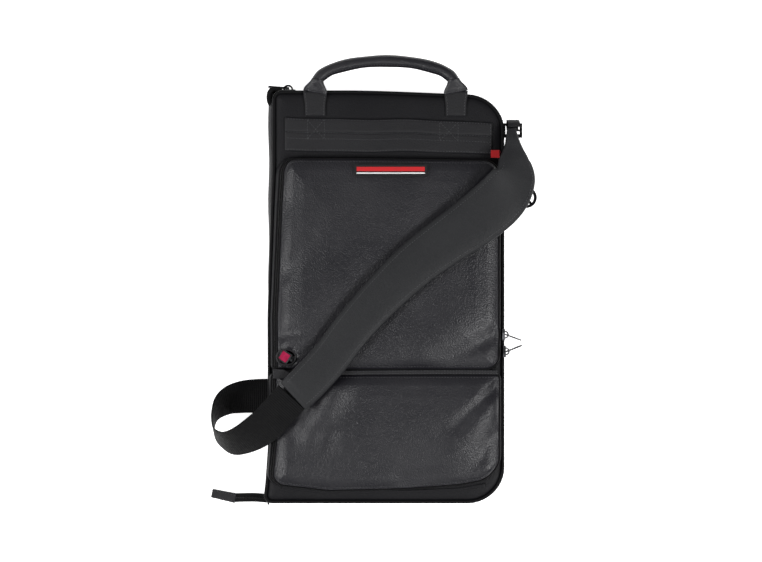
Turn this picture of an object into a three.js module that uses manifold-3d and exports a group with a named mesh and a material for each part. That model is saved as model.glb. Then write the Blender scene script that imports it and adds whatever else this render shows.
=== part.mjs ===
// Drum stick bag: a leatherette case that opens like a book along its left side.
// Millimetres. +Z is out of the front pockets, +Y is towards the carrying handle, and
// the flat face of the back panel lies on z = 0. Its middle is the origin.
import * as THREE from "three";
import { mergeVertices } from "three/addons/utils/BufferGeometryUtils.js";
import Module from "manifold-3d";

const wasm = await Module();
wasm.setup();

// ---- driving dimensions ----
const CASE = { left: -134, right: 131.5, bottom: -237.5, top: 237.5 }; // outside of both shells
const SPINE_CORNER = 8; // corner radius on the spine side
const ZIP_CORNER = 40; // corner radius on the side that unzips
const WALL = 3; // leatherette over foam
const GAP = 0.3; // space between pieces that are sewn face to face
const BACK_DEPTH = 34; // height of the back shell's wall
const ZIP_BAND = 12; // height of the zip between the two shells
const COIL = 1.4; // height of one row of zip coil
const FRONT_TOP = 60; // face of the front panel
const PIPING = 2.7; // thickness of the edge piping
const STIFFENER = 2; // plastic board behind each panel
const LINING = 1.2; // nylon lining
const POCKET_TOP = 77.5; // face of the two front pockets
const POCKET_PANEL = 2.5;
const WEBBING = { width: 40, thickness: 2 };
const PAD = { thickness: 9.7, backing: 2 };
const HANDLE = { middle: -2.5, half: 80.5, pivotY: 238, z: 65, radius: 7 };
const RIBBON_STEPS = 3; // smooth steps between two stations of a strap

// ---- geometry tools ----
// A closed three.js geometry as a manifold-3d solid.
function solidOf(geometry) {
  const bare = geometry.index ? geometry.toNonIndexed() : geometry.clone();
  bare.deleteAttribute("normal");
  bare.deleteAttribute("uv");
  const merged = mergeVertices(bare, 1e-4);
  return new wasm.Manifold(
    new wasm.Mesh({
      numProp: 3,
      vertProperties: new Float32Array(merged.attributes.position.array),
      triVerts: new Uint32Array(merged.index.array),
    }),
  );
}

// A manifold-3d solid as a three.js geometry.
function geometryOf(solid) {
  const mesh = solid.getMesh();
  const geometry = new THREE.BufferGeometry();
  geometry.setAttribute("position", new THREE.BufferAttribute(mesh.vertProperties, 3));
  geometry.setIndex(new THREE.BufferAttribute(mesh.triVerts, 1));
  return geometry;
}

function join(...geometries) {
  return geometryOf(geometries.map(solidOf).reduce((a, b) => a.add(b)));
}

function cut(geometry, ...tools) {
  return geometryOf(tools.map(solidOf).reduce((a, b) => a.subtract(b), solidOf(geometry)));
}

// A box between two corners.
function block(x0, x1, y0, y1, z0, z1) {
  const box = new THREE.BoxGeometry(x1 - x0, y1 - y0, z1 - z0);
  return box.translate((x0 + x1) / 2, (y0 + y1) / 2, (z0 + z1) / 2);
}

// A rectangle with its own radius at each corner, grown outwards by `grow`.
function outline({ left, right, bottom, top, radii }, grow = 0) {
  const [tl, tr, br, bl] = radii.map((r) => Math.max(r + grow, 0.8));
  const x0 = left - grow;
  const x1 = right + grow;
  const y0 = bottom - grow;
  const y1 = top + grow;
  const shape = new THREE.Shape();
  shape.moveTo(x0 + bl, y0);
  shape.lineTo(x1 - br, y0);
  shape.absarc(x1 - br, y0 + br, br, -Math.PI / 2, 0);
  shape.lineTo(x1, y1 - tr);
  shape.absarc(x1 - tr, y1 - tr, tr, 0, Math.PI / 2);
  shape.lineTo(x0 + tl, y1);
  shape.absarc(x0 + tl, y1 - tl, tl, Math.PI / 2, Math.PI);
  shape.lineTo(x0, y0 + bl);
  shape.absarc(x0 + bl, y0 + bl, bl, Math.PI, Math.PI * 1.5);
  return shape;
}

// A flat shape given its height, from z0 to z1.
function slab(shape, z0, z1, curveSegments = 7) {
  const settings = { depth: z1 - z0, bevelEnabled: false, curveSegments };
  return new THREE.ExtrudeGeometry(shape, settings).translate(0, 0, z0);
}

// A wall that follows an outline, `thickness` thick inwards.
function ring(rect, grow, thickness, z0, z1) {
  return cut(slab(outline(rect, grow), z0, z1), slab(outline(rect, grow - thickness), z0 - 1, z1 + 1));
}

// A ring without its spine side, as the zip runs round three sides only.
function openRing(rect, grow, thickness, z0, z1) {
  const spineSide = block(rect.left - 20, rect.left + 12, rect.bottom - 20, rect.top + 20, z0 - 1, z1 + 1);
  return cut(ring(rect, grow, thickness, z0, z1), spineSide);
}

// Stations of {at, width, across} with `steps` smooth steps between each two of them.
function smoothed(stations, steps) {
  const path = new THREE.CatmullRomCurve3(stations.map((s) => s.at));
  const spans = stations.length - 1;
  const result = [];
  for (let i = 0; i <= spans * steps; i++) {
    const low = Math.min(Math.floor(i / steps), spans - 1);
    const share = i / steps - low;
    const [a, b] = [stations[low], stations[low + 1]];
    result.push({
      at: path.getPoint(i / (spans * steps)),
      width: THREE.MathUtils.lerp(a.width, b.width, share),
      across: a.across.clone().lerp(b.across, share),
    });
  }
  return result;
}

// A ribbon carried along stations of {at, width, across}, with a section of eight sides:
// `across` is the direction of its width, and `lift` raises it along its own normal.
function ribbon(corner, thickness, lift = 0, bevel = 0.25) {
  const stations = smoothed(corner, RIBBON_STEPS);
  const count = stations.length;
  const path = new THREE.CatmullRomCurve3(stations.map((s) => s.at));
  const corners = [
    [-1, -1 + bevel * 2], [-1 + bevel, -1], [1 - bevel, -1], [1, -1 + bevel * 2],
    [1, 1 - bevel * 2], [1 - bevel, 1], [-1 + bevel, 1], [-1, 1 - bevel * 2],
  ];
  const points = [];
  stations.forEach((station, i) => {
    const along = path.getTangent(i / (count - 1));
    const across = station.across.clone().addScaledVector(along, -station.across.dot(along)).normalize();
    const normal = new THREE.Vector3().crossVectors(across, along).normalize();
    const edge = thickness / station.width;
    for (const [u, v] of corners) {
      const inset = Math.abs(u) < 1 ? Math.sign(u) * (1 - bevel * edge * 2) : u;
      const point = station.at.clone();
      point.addScaledVector(across, (inset * station.width) / 2);
      point.addScaledVector(normal, (v * thickness) / 2 + lift);
      points.push(point);
    }
  });
  const sides = corners.length;
  const faces = [];
  for (let i = 0; i < count - 1; i++) {
    for (let k = 0; k < sides; k++) {
      const a = i * sides + k;
      const b = i * sides + ((k + 1) % sides);
      // The top is split along the same diagonal as the bottom, so that layers nest.
      if (k < sides / 2) faces.push(a, b, b + sides, a, b + sides, a + sides);
      else faces.push(a, b, a + sides, b, b + sides, a + sides);
    }
  }
  const last = (count - 1) * sides;
  for (let k = 1; k < sides - 1; k++) {
    faces.push(0, k + 1, k);
    faces.push(last, last + k, last + k + 1);
  }
  const geometry = new THREE.BufferGeometry().setFromPoints(points);
  geometry.setIndex(faces);
  return solidOf(geometry).volume() > 0 ? geometry : flipped(geometry);
}

// The same geometry with its faces turned round.
function flipped(geometry) {
  const order = geometry.index.array;
  for (let i = 0; i < order.length; i += 3) {
    [order[i + 1], order[i + 2]] = [order[i + 2], order[i + 1]];
  }
  return geometry;
}

// A round bar along a curve.
function bar(curve, radius, steps, sides = 10) {
  const section = new THREE.Shape();
  for (let k = 0; k < sides; k++) {
    const angle = (k / sides) * Math.PI * 2;
    section[k ? "lineTo" : "moveTo"](Math.cos(angle) * radius, Math.sin(angle) * radius);
  }
  return new THREE.ExtrudeGeometry(section, { steps, extrudePath: curve, bevelEnabled: false });
}

// ---- materials ----
const look = (color, roughness, metalness = 0) => new THREE.MeshStandardMaterial({ color, roughness, metalness });
const LEATHER = look(0x2a2b2f, 0.48);
const DARK_LEATHER = look(0x1d1d21, 0.55);
const PIPED_LEATHER = look(0x34353a, 0.4);
const NYLON = look(0x161618, 0.85);
const LINING_CLOTH = look(0x3a3c40, 0.9);
const BOARD = look(0x4a4a4a, 0.6);
const COIL_PLASTIC = look(0x111113, 0.4);
const GUNMETAL = look(0x6c6e72, 0.3, 0.9);
const BLACK_METAL = look(0x202124, 0.35, 0.8);
const RED_CLOTH = look(0xc8202c, 0.7);
const FOAM = look(0x77787a, 0.95);

const bag = new THREE.Group();

function piece(name, geometry, material, parent = bag) {
  const mesh = new THREE.Mesh(geometry, material);
  mesh.name = name;
  parent.add(mesh);
  return mesh;
}

// ---- the two shells ----
const CASE_RECT = { ...CASE, radii: [SPINE_CORNER, ZIP_CORNER, ZIP_CORNER, SPINE_CORNER] };

// A panel with its wall, open on one side: the panel fills z0..z0+panel or z1-panel..z1.
function tray(rect, grow, wall, z0, z1, panel, opensUp) {
  const hollow = opensUp ? [z0 + panel, z1 + 1] : [z0 - 1, z1 - panel];
  return cut(slab(outline(rect, grow), z0, z1), slab(outline(rect, grow - wall), ...hollow));
}

function backHalf() {
  const board = WALL + GAP;
  const lining = board + STIFFENER + GAP;
  piece("back_shell", tray(CASE_RECT, 0, WALL, 0, BACK_DEPTH, WALL, true), LEATHER);
  piece("back_piping", ring(CASE_RECT, GAP + PIPING, PIPING, GAP, GAP + PIPING), PIPED_LEATHER);
  piece("back_stiffener", slab(outline(CASE_RECT, -WALL - 1), board, board + STIFFENER), BOARD);
  const liner = tray(CASE_RECT, -WALL - GAP, LINING, lining, BACK_DEPTH - 1, LINING, true);
  piece("back_lining", liner, LINING_CLOTH);
  return lining + LINING + GAP;
}

function frontHalf() {
  const bottom = BACK_DEPTH + ZIP_BAND + 0.1;
  const board = FRONT_TOP - WALL - GAP;
  const lining = board - STIFFENER - GAP;
  piece("front_shell", tray(CASE_RECT, 0, WALL, bottom, FRONT_TOP, WALL, false), LEATHER);
  const edge = ring(CASE_RECT, GAP + PIPING, PIPING, FRONT_TOP - PIPING - 0.5, FRONT_TOP - 0.5);
  piece("front_piping", edge, PIPED_LEATHER);
  piece("front_stiffener", slab(outline(CASE_RECT, -WALL - 1), board - STIFFENER, board), BOARD);
  const liner = tray(CASE_RECT, -WALL - GAP, LINING, bottom + 1, lining, LINING, false);
  piece("front_lining", liner, LINING_CLOTH);
  return lining - LINING - GAP;
}

const sleeveFloor = backHalf();
const accessoryTop = frontHalf();

// The main zip: a tape and a coil on each shell, round three sides.
function mainZip() {
  const tape = (ZIP_BAND - 2 * COIL - 5 * GAP) / 2;
  const backTape = BACK_DEPTH + GAP;
  const backCoil = backTape + tape + GAP;
  const frontCoil = backCoil + COIL + GAP;
  const frontTape = frontCoil + COIL + GAP;
  piece("main_zip_tape_back", openRing(CASE_RECT, 0, 1.6, backTape, backTape + tape), NYLON);
  piece("main_zip_coil_back", openRing(CASE_RECT, 0.4, 2.4, backCoil, backCoil + COIL), COIL_PLASTIC);
  piece("main_zip_coil_front", openRing(CASE_RECT, 0.4, 2.4, frontCoil, frontCoil + COIL), COIL_PLASTIC);
  piece("main_zip_tape_front", openRing(CASE_RECT, 0, 1.6, frontTape, frontTape + tape), NYLON);
}
mainZip();

// The leatherette strip that joins the two shells along the left side.
const SPINE_THICK = 1.2;
const spineX = CASE.left - GAP - SPINE_THICK;
piece("spine_panel", block(spineX, spineX + SPINE_THICK, -226, 226, 24, 55), LEATHER);

// ---- inside: sleeves for sticks in the back, a flat pocket in the front ----
const SLEEVES = { count: 6, width: 38, left: -115, bottom: -225, mouth: 60, height: 17, cloth: 1.4 };

// An arched tunnel's section, standing on the line y = floor.
function arch(middle, half, floor, spring, crown) {
  const shape = new THREE.Shape();
  shape.moveTo(middle - half, floor);
  shape.lineTo(middle + half, floor);
  shape.absellipse(middle, spring, half, crown - spring, 0, Math.PI, false, 0);
  return shape;
}

function stickSleeves() {
  const { count, width, left, bottom, mouth, height, cloth } = SLEEVES;
  const spring = height * 0.35;
  // Each tunnel is extruded along +Z and stood over, so that it runs along -Y.
  const lay = (shape, y0, y1) => slab(shape, 0, y1 - y0, 6).rotateX(Math.PI / 2).translate(0, y1, sleeveFloor);
  const outsides = [lay(new THREE.Shape([
    new THREE.Vector2(left, 0), new THREE.Vector2(left + count * width, 0),
    new THREE.Vector2(left + count * width, cloth), new THREE.Vector2(left, cloth),
  ]), bottom, mouth)];
  const insides = [];
  for (let i = 0; i < count; i++) {
    const middle = left + (i + 0.5) * width;
    outsides.push(lay(arch(middle, width / 2 + 0.2, 0.2, spring, height), bottom, mouth));
    insides.push(lay(arch(middle, width / 2 - cloth, cloth, spring, height - cloth), bottom + cloth, mouth + 1));
  }
  piece("stick_sleeves", cut(join(...outsides), ...insides), LINING_CLOTH);
}
stickSleeves();

function accessoryPocket() {
  const { half, bottom, top } = { half: 110, bottom: -200, top: 100 };
  const low = accessoryTop - 7.9;
  const outside = block(-half, half, bottom, top, low, accessoryTop);
  const inside = block(-half + 3, half - 3, bottom + 3, top + 1, low + 1.3, accessoryTop - 1.3);
  piece("accessory_pocket", cut(outside, inside), LINING_CLOTH);
}
accessoryPocket();

// ---- the front pockets ----
const UPPER = { left: -130, right: 129, bottom: -83, top: 162, radii: [15, 15, 4, 4] };
const LOWER = { left: -131, right: 130, bottom: -230, top: -93, radii: [4, 4, 14, 14] };
const GARAGE = { x: -115.5, y: -67, halfX: 13, halfY: 11 }; // opening that shows the badge pull

function pocket(name, rect) {
  const low = FRONT_TOP + GAP;
  const tape = low + 5;
  const rim = tape + 3.3;
  piece(`${name}_gusset`, ring(rect, 1.2, 2.5, low, tape - GAP), LEATHER);
  piece(`${name}_zip_tape`, ring(rect, 0.6, 1.6, tape, tape + 1.4), NYLON);
  piece(`${name}_zip_coil`, ring(rect, 0.8, 2, tape + 1.7, tape + 3), COIL_PLASTIC);
  return tray(rect, 0, POCKET_PANEL, rim, POCKET_TOP, POCKET_PANEL, false);
}

function garageOpening() {
  const oval = new THREE.Shape();
  oval.absellipse(GARAGE.x, GARAGE.y, GARAGE.halfX, GARAGE.halfY, 0, Math.PI * 2);
  return slab(oval, POCKET_TOP - POCKET_PANEL - 1, POCKET_TOP + 1, 18);
}
piece("upper_pocket_panel", cut(pocket("upper_pocket", UPPER), garageOpening()), LEATHER);
piece("lower_pocket_panel", pocket("lower_pocket", LOWER), LEATHER);
piece("pocket_binding", block(-128, 128, -91.4, -84.6, 66, POCKET_TOP + 0.4), DARK_LEATHER);
piece("hidden_zip_tape", block(-126, 124, -78, -58, FRONT_TOP + 2, FRONT_TOP + 3.4), NYLON);

// ---- trim on the front ----
const TRIM = POCKET_TOP + GAP;
piece("yoke_band", block(-123, 117, 173, 209, FRONT_TOP + GAP, FRONT_TOP + 1.8), DARK_LEATHER);
piece("woven_label", block(-38.3, 45, 142.4, 157.3, TRIM, TRIM + 0.8), RED_CLOTH);
piece("red_tab", block(118, 128, 168, 175, FRONT_TOP + GAP, FRONT_TOP + 2), RED_CLOTH);

function garageTab() {
  const pointed = new THREE.Shape();
  pointed.moveTo(-130, -79);
  pointed.lineTo(-118, -79.5);
  pointed.lineTo(-109, -84);
  pointed.lineTo(-114, -90);
  pointed.lineTo(-130, -90);
  piece("garage_tab", slab(pointed, TRIM + 0.4, TRIM + 1.6), DARK_LEATHER);
}
garageTab();

// ---- carrying handle ----
const handlePivots = [HANDLE.middle - HANDLE.half, HANDLE.middle + HANDLE.half];

function chape(x) {
  const shape = new THREE.Shape();
  shape.moveTo(x - 8.5, 212);
  shape.lineTo(x + 8.5, 212);
  shape.lineTo(x + 8.5, 226);
  shape.lineTo(x + 14, HANDLE.pivotY - 1.2);
  shape.lineTo(x - 14, HANDLE.pivotY - 1.2);
  shape.lineTo(x - 8.5, 226);
  return slab(shape, FRONT_TOP + GAP, FRONT_TOP + 2.3);
}
piece("handle_chape_left", chape(handlePivots[0]), DARK_LEATHER);
piece("handle_chape_right", chape(handlePivots[1]), DARK_LEATHER);

// The leather end of the handle, widest at its fold and narrow where the grip starts.
function handleEnd(x, lean) {
  const shape = new THREE.Shape();
  shape.moveTo(-14, 1);
  shape.lineTo(14, 1);
  shape.lineTo(8 + lean, 9.6);
  shape.lineTo(-8 + lean, 9.6);
  return slab(shape, -2.5, 2.5).translate(x, 0, 0);
}

const handle = new THREE.Group();
handle.position.set(0, HANDLE.pivotY, HANDLE.z);
bag.add(handle);

function handlePieces() {
  const rises = [[1, 12], [0.985, 16], [0.9, 22.5], [0.72, 30], [0.4, 37.8], [0, 41]];
  const left = rises.map(([u, y]) => new THREE.Vector3(HANDLE.middle - u * (HANDLE.half - 3), y, 0));
  const right = rises.slice(0, -1).reverse();
  const points = left.concat(right.map(([u, y]) => new THREE.Vector3(HANDLE.middle + u * (HANDLE.half - 3), y, 0)));
  const arch = new THREE.CatmullRomCurve3(points);
  const steps = 22;
  // The bore is a step longer at each end, so that the cover is open there.
  const first = points[0].clone().add(arch.getTangent(0).multiplyScalar(-2));
  const last = points.at(-1).clone().add(arch.getTangent(1).multiplyScalar(2));
  const longer = new THREE.CatmullRomCurve3([first, ...points, last]);
  const cover = cut(bar(arch, HANDLE.radius, steps), bar(longer, HANDLE.radius - 2, steps + 2));
  piece("handle_cover", cover, LEATHER, handle);
  piece("handle_core", bar(arch, HANDLE.radius - 2.9, steps, 8), FOAM, handle);
  piece("handle_end_left", handleEnd(handlePivots[0], 2.6), LEATHER, handle);
  piece("handle_end_right", handleEnd(handlePivots[1], -2.6), LEATHER, handle);
}
handlePieces();

// ---- zip sliders ----
// Local axes: X along the zip, Z away from the tape, Y across it.
const SLIDER = { length: 13, width: 9, plate: 3, archOut: 4.6, archIn: 3, archThick: 2, pivotZ: 4.4 };

function sliderBody(size) {
  const { length, width, plate, archOut, archIn, archThick } = SLIDER;
  const base = new THREE.Shape();
  base.moveTo(-length / 2, -width * 0.32);
  base.lineTo(length * 0.15, -width / 2);
  base.lineTo(length / 2, -width / 2);
  base.lineTo(length / 2, width / 2);
  base.lineTo(length * 0.15, width / 2);
  base.lineTo(-length / 2, width * 0.32);
  const arch = new THREE.Shape();
  arch.moveTo(archOut, -1);
  arch.absarc(0, 0, archOut, 0, Math.PI);
  arch.lineTo(-archOut, -1);
  arch.lineTo(-archIn, -1);
  arch.absarc(0, 0, archIn, Math.PI, 0, true);
  arch.lineTo(archIn, -1);
  const bridge = slab(arch, -archThick / 2, archThick / 2, 8).rotateX(Math.PI / 2).translate(0, 0, plate);
  return join(slab(base, 0, plate), bridge).scale(size, size, size);
}

// A flat pull: an eye round the bridge, then a square frame.
function framePull(size, length) {
  const shape = new THREE.Shape();
  shape.moveTo(-1, -3.4);
  shape.lineTo(length, -3.4);
  shape.lineTo(length + 1, 0);
  shape.lineTo(length, 3.4);
  shape.lineTo(-1, 3.4);
  const hole = (x0, x1, half) => new THREE.Path([
    new THREE.Vector2(x0, -half), new THREE.Vector2(x1, -half),
    new THREE.Vector2(x1, half), new THREE.Vector2(x0, half),
  ]);
  shape.holes.push(hole(0.9, 5.8, 1.7), hole(8, length - 4, 2));
  return slab(shape, -0.8, 0.8).scale(size, size, size);
}

// A slider and its pull on a tape: `angle` turns the pull up from lying along +X.
function zipSlider(name, size, at, [alongZip, acrossZip, outwards], pullLength, angle) {
  const group = new THREE.Group();
  group.position.set(...at);
  group.setRotationFromMatrix(new THREE.Matrix4().makeBasis(alongZip, acrossZip, outwards));
  bag.add(group);
  piece(`${name}_slider`, sliderBody(size), GUNMETAL, group);
  const pull = piece(`${name}_pull`, framePull(size, pullLength), GUNMETAL, group);
  pull.position.z = SLIDER.pivotZ * size;
  pull.rotation.y = THREE.MathUtils.degToRad(-angle);
}

const [X, Y, Z] = [new THREE.Vector3(1, 0, 0), new THREE.Vector3(0, 1, 0), new THREE.Vector3(0, 0, 1)];
const minus = (v) => v.clone().negate();
const MAIN_SIZE = 1.3;
const zipMiddle = BACK_DEPTH + ZIP_BAND / 2;
const aboveCoil = 0.4 + GAP;
zipSlider("main_zip", MAIN_SIZE, [-115, CASE.top + aboveCoil, zipMiddle], [X, minus(Z), Y], 17, 176);
const pocketZip = FRONT_TOP + 7.6;
const sideX = UPPER.right + 1.2 + GAP;
zipSlider("upper_pocket", 1, [sideX, -40, pocketZip], [Y, Z, X], 18, 110);
zipSlider("lower_pocket", 1, [sideX + 1, -59, pocketZip], [minus(Y), minus(Z), X], 18, 112);

// The slider in the garage: its pull is a bar that ends in a square badge.
function garageSlider() {
  const size = 0.9;
  const group = new THREE.Group();
  group.position.set(-104, -68, FRONT_TOP + 3.7);
  bag.add(group);
  piece("garage_slider", sliderBody(size), GUNMETAL, group);
  const arm = new THREE.Shape();
  arm.moveTo(-5.6, -3.2);
  arm.lineTo(-4.6, -0.8);
  arm.lineTo(-9.5, 4.4);
  arm.lineTo(-11.3, 2.6);
  const square = new THREE.Group();
  square.position.set(-13.5, 3, 9.2);
  square.rotation.z = THREE.MathUtils.degToRad(-34);
  group.add(square);
  const rim = cut(block(-6.5, 6.5, -6.5, 6.5, -1, 1.4), block(-5.2, 5.2, -5.2, 5.2, 0.2, 2));
  piece("badge_frame", rim, GUNMETAL, square);
  piece("badge_inlay", block(-4.9, 4.9, -4.9, 4.9, 0.5, 1.4), RED_CLOTH, square);
  piece("badge_arm", slab(arm, 5.6, 7.6), GUNMETAL, group);
}
garageSlider();

// ---- zip tail at the foot of the spine ----
// The tape hangs down the side wall and lies out over the table, clear of the opening cover.
const TAIL = { x: -137.6, y: -233.6, z: 2.7, reach: 45.4, drop: 31, half: 5.5, thick: 2.2 };
const tail = new THREE.Group();
tail.position.set(TAIL.x, TAIL.y, TAIL.z);
tail.rotation.z = THREE.MathUtils.degToRad(2);
bag.add(tail);

function zipTail() {
  const { reach, drop, half, thick } = TAIL;
  const lying = block(-reach, 0, -half, half, -thick / 2, thick / 2);
  const hanging = block(-thick, 0, -half, half, -thick / 2, drop);
  piece("zip_tail_tape", join(lying, hanging), NYLON, tail);
  const folded = cut(block(-26, 0, -5.8, 5.8, -2.4, 2.4), block(-5, 1, -7, 7, -1.4, 1.4));
  const tab = piece("zip_tail_tab", folded, DARK_LEATHER, tail);
  tab.position.set(-reach + 3, 0, 0);
  tab.rotation.z = THREE.MathUtils.degToRad(-14);
}
zipTail();

// ---- shoulder strap ----
const point = (x, y, z) => new THREE.Vector3(x, y, z);
const PAD_Z = POCKET_TOP + 10;
// The padded part lies across the front and turns down over the right-hand edge.
const PAD_PATH = [
  { at: point(-107, -109, PAD_Z), width: 42, across: point(0.72, -0.69, 0) },
  { at: point(-92, -95, PAD_Z), width: 44, across: point(0.7, -0.71, 0) },
  { at: point(-66, -67, PAD_Z), width: 44, across: point(0.75, -0.66, 0) },
  { at: point(-40, -33, PAD_Z), width: 45, across: point(0.77, -0.64, 0) },
  { at: point(-8, 3, PAD_Z), width: 48, across: point(0.72, -0.69, 0) },
  { at: point(29, 38.5, PAD_Z), width: 52, across: point(0.66, -0.75, 0) },
  { at: point(64, 65, PAD_Z), width: 55, across: point(0.6, -0.8, 0) },
  { at: point(98, 89, PAD_Z + 0.5), width: 59, across: point(0.62, -0.78, 0) },
  { at: point(126, 113, PAD_Z + 2), width: 61, across: point(0.68, -0.7, -0.08) },
  { at: point(143, 136, PAD_Z - 1), width: 58, across: point(0.66, -0.5, -0.5) },
  { at: point(149, 159, PAD_Z - 9), width: 46, across: point(0.45, -0.2, -0.85) },
  { at: point(149, 181, PAD_Z - 11), width: 34, across: point(0.15, -0.02, -1) },
  { at: point(146, 199, PAD_Z - 12), width: 26, across: point(0, 0, -1) },
];
piece("shoulder_pad", ribbon(PAD_PATH, PAD.thickness, 1.3), LEATHER);
piece("pad_backing", ribbon(PAD_PATH, PAD.backing, 1.3 - PAD.thickness / 2 - 2 * GAP - PAD.backing / 2), NYLON);

// Webbing from the pad's lower end, out past the spine and back to the back shell's side.
const LOOP_PATH = [
  { at: point(-112.5, -113.5, PAD_Z), width: WEBBING.width, across: point(0.7, -0.72, 0) },
  { at: point(-125, -128, PAD_Z), width: WEBBING.width, across: point(0.7, -0.72, 0) },
  { at: point(-138, -141.6, PAD_Z - 2), width: WEBBING.width, across: point(0.7, -0.72, -0.05) },
  { at: point(-160, -157, PAD_Z - 9), width: WEBBING.width, across: point(0.56, -0.72, -0.4) },
  { at: point(-181, -164, PAD_Z - 19), width: WEBBING.width, across: point(0.2, -0.7, -0.7) },
  { at: point(-196, -157, PAD_Z - 31), width: WEBBING.width, across: point(0.05, -0.5, -0.85) },
  { at: point(-201.5, -143, PAD_Z - 42), width: WEBBING.width, across: point(0, -0.55, -0.83) },
  { at: point(-198.5, -128, PAD_Z - 52), width: WEBBING.width, across: point(0, -0.68, -0.72) },
  { at: point(-186, -118, PAD_Z - 60), width: WEBBING.width, across: point(0.1, -0.8, -0.55) },
  { at: point(-170, -114, PAD_Z - 65), width: WEBBING.width, across: point(0.08, -0.9, -0.3) },
  { at: point(-153, -113, PAD_Z - 68), width: WEBBING.width, across: point(0, -1, -0.1) },
  { at: point(CASE.left - 2.4, -113, PAD_Z - 70), width: WEBBING.width, across: point(0, -1, 0) },
];
piece("strap_webbing_lower", ribbon(LOOP_PATH, WEBBING.thickness), NYLON);
piece("strap_anchor", block(CASE.left - 1.9, CASE.left - GAP, -135, -91, 8, 23), DARK_LEATHER);

// Ring, swivel hook and adjuster at the strap's upper end, beside the right-hand wall.
const RING = { x: 143.5, y: 150, z: 52, half: 11, reach: 20, bar: 3 };

function ringTab() {
  const loop = new THREE.Shape();
  loop.absarc(RING.x, RING.y, 4, 0, Math.PI * 2);
  const eye = new THREE.Path();
  eye.absarc(RING.x, RING.y, 2.6, 0, Math.PI * 2);
  loop.holes.push(eye);
  const sewn = block(CASE.right + GAP, CASE.right + 1.9, 118, RING.y, 47, 56);
  const bend = block(CASE.right + GAP, RING.x - 2.9, RING.y - 3.4, RING.y, 47, 56);
  piece("upper_ring_tab", join(slab(loop, 47, 56, 10), sewn, bend), NYLON);
}

function dRing() {
  const shape = new THREE.Shape();
  const { half, reach, bar: thick } = RING;
  shape.moveTo(-half, -thick / 2);
  shape.lineTo(half, -thick / 2);
  shape.lineTo(half, reach - half);
  shape.absarc(0, reach - half, half, 0, Math.PI);
  const inner = new THREE.Path();
  inner.moveTo(-half + thick, thick / 2);
  inner.lineTo(half - thick, thick / 2);
  inner.lineTo(half - thick, reach - half);
  inner.absarc(0, reach - half, half - thick, 0, Math.PI);
  shape.holes.push(inner);
  const mesh = piece("upper_d_ring", slab(shape, -thick / 2, thick / 2, 10), BLACK_METAL);
  mesh.position.set(RING.x, RING.y, RING.z);
  mesh.setRotationFromMatrix(new THREE.Matrix4().makeBasis(minus(Z), Y, X));
}

const HOOK = { y: RING.y + RING.reach + 2.4, inner: 6.6, outer: 9, thick: 4 };

function snapHook() {
  const claw = new THREE.Shape();
  const from = THREE.MathUtils.degToRad(60);
  const to = THREE.MathUtils.degToRad(300);
  claw.absarc(0, 0, HOOK.outer, from, to);
  claw.absarc(0, 0, HOOK.inner, to, from, true);
  const post = new THREE.CylinderGeometry(2, 2, 11, 12).translate(0, 13.6, 0);
  const head = new THREE.CylinderGeometry(3.1, 3.1, 1.6, 12).translate(0, 19.9, 0);
  const shank = block(-3.4, 6, 7, 12.4, -HOOK.thick / 2, HOOK.thick / 2);
  const hook = join(slab(claw, -HOOK.thick / 2, HOOK.thick / 2, 16), shank, post, head);
  piece("snap_hook", hook, BLACK_METAL).position.set(RING.x, HOOK.y, RING.z);
  const gate = block(-1, 1, -11.4, 0.5, -1.6, 1.6);
  piece("snap_hook_gate", gate, BLACK_METAL).position.set(RING.x + 7.5, HOOK.y + 6, RING.z);
  const boss = block(-5, 5, 13.4, 17.4, -4.2, 4.2);
  const frame = cut(
    join(block(-11, 11, 13.4, 30, -2.2, 2.2), boss),
    block(-8.2, 8.2, 17.4, 27, -5, 5),
    new THREE.CylinderGeometry(2.5, 2.5, 6, 16).translate(0, 15.4, 0),
  );
  piece("swivel_eye", frame, BLACK_METAL).position.set(RING.x, HOOK.y, RING.z);
}

// A narrow leather tab, sewn under the pad's tip and looped round the swivel's far bar.
const TAB_PATH = [
  [145, 197.6, 61], [144.5, 202.6, 58.5], [143.5, 205.6, 54], [143.5, 204.2, 49.4],
  [143.5, 200.9, 47.6], [143.5, 197, 48.6], [143.5, 195, 53], [144.5, 193.6, 57.6], [145, 193.2, 61],
].map((at) => ({ at: point(...at), width: 14, across: point(1, 0, 0) }));

// The oval adjuster, which shows past the pad's lower edge.
function strapAdjuster() {
  const { x, y, z, halfStraight, end, wall } = { x: 153, y: 125, z: 57.8, halfStraight: 10, end: 12, wall: 3.4 };
  const oval = (radius, Kind) => {
    const path = new Kind();
    path.moveTo(-halfStraight, -radius);
    path.lineTo(halfStraight, -radius);
    path.absarc(halfStraight, 0, radius, -Math.PI / 2, Math.PI / 2);
    path.lineTo(-halfStraight, radius);
    path.absarc(-halfStraight, 0, radius, Math.PI / 2, Math.PI * 1.5);
    return path;
  };
  const shape = oval(end, THREE.Shape);
  shape.holes.push(oval(end - wall, THREE.Path));
  const crossBar = block(-halfStraight - 10, halfStraight + 10, -1.5, 1.5, -1.5, 1.5);
  const mesh = piece("strap_adjuster", join(slab(shape, -1.5, 1.5, 10), crossBar), BLACK_METAL);
  mesh.position.set(x, y, z);
  mesh.rotation.z = Math.atan2(-0.81, 0.58);
}
ringTab();
dRing();
snapHook();
piece("upper_strap_tab", ribbon(TAB_PATH, WEBBING.thickness), DARK_LEATHER);
strapAdjuster();

export default bag;
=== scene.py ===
import math

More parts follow.
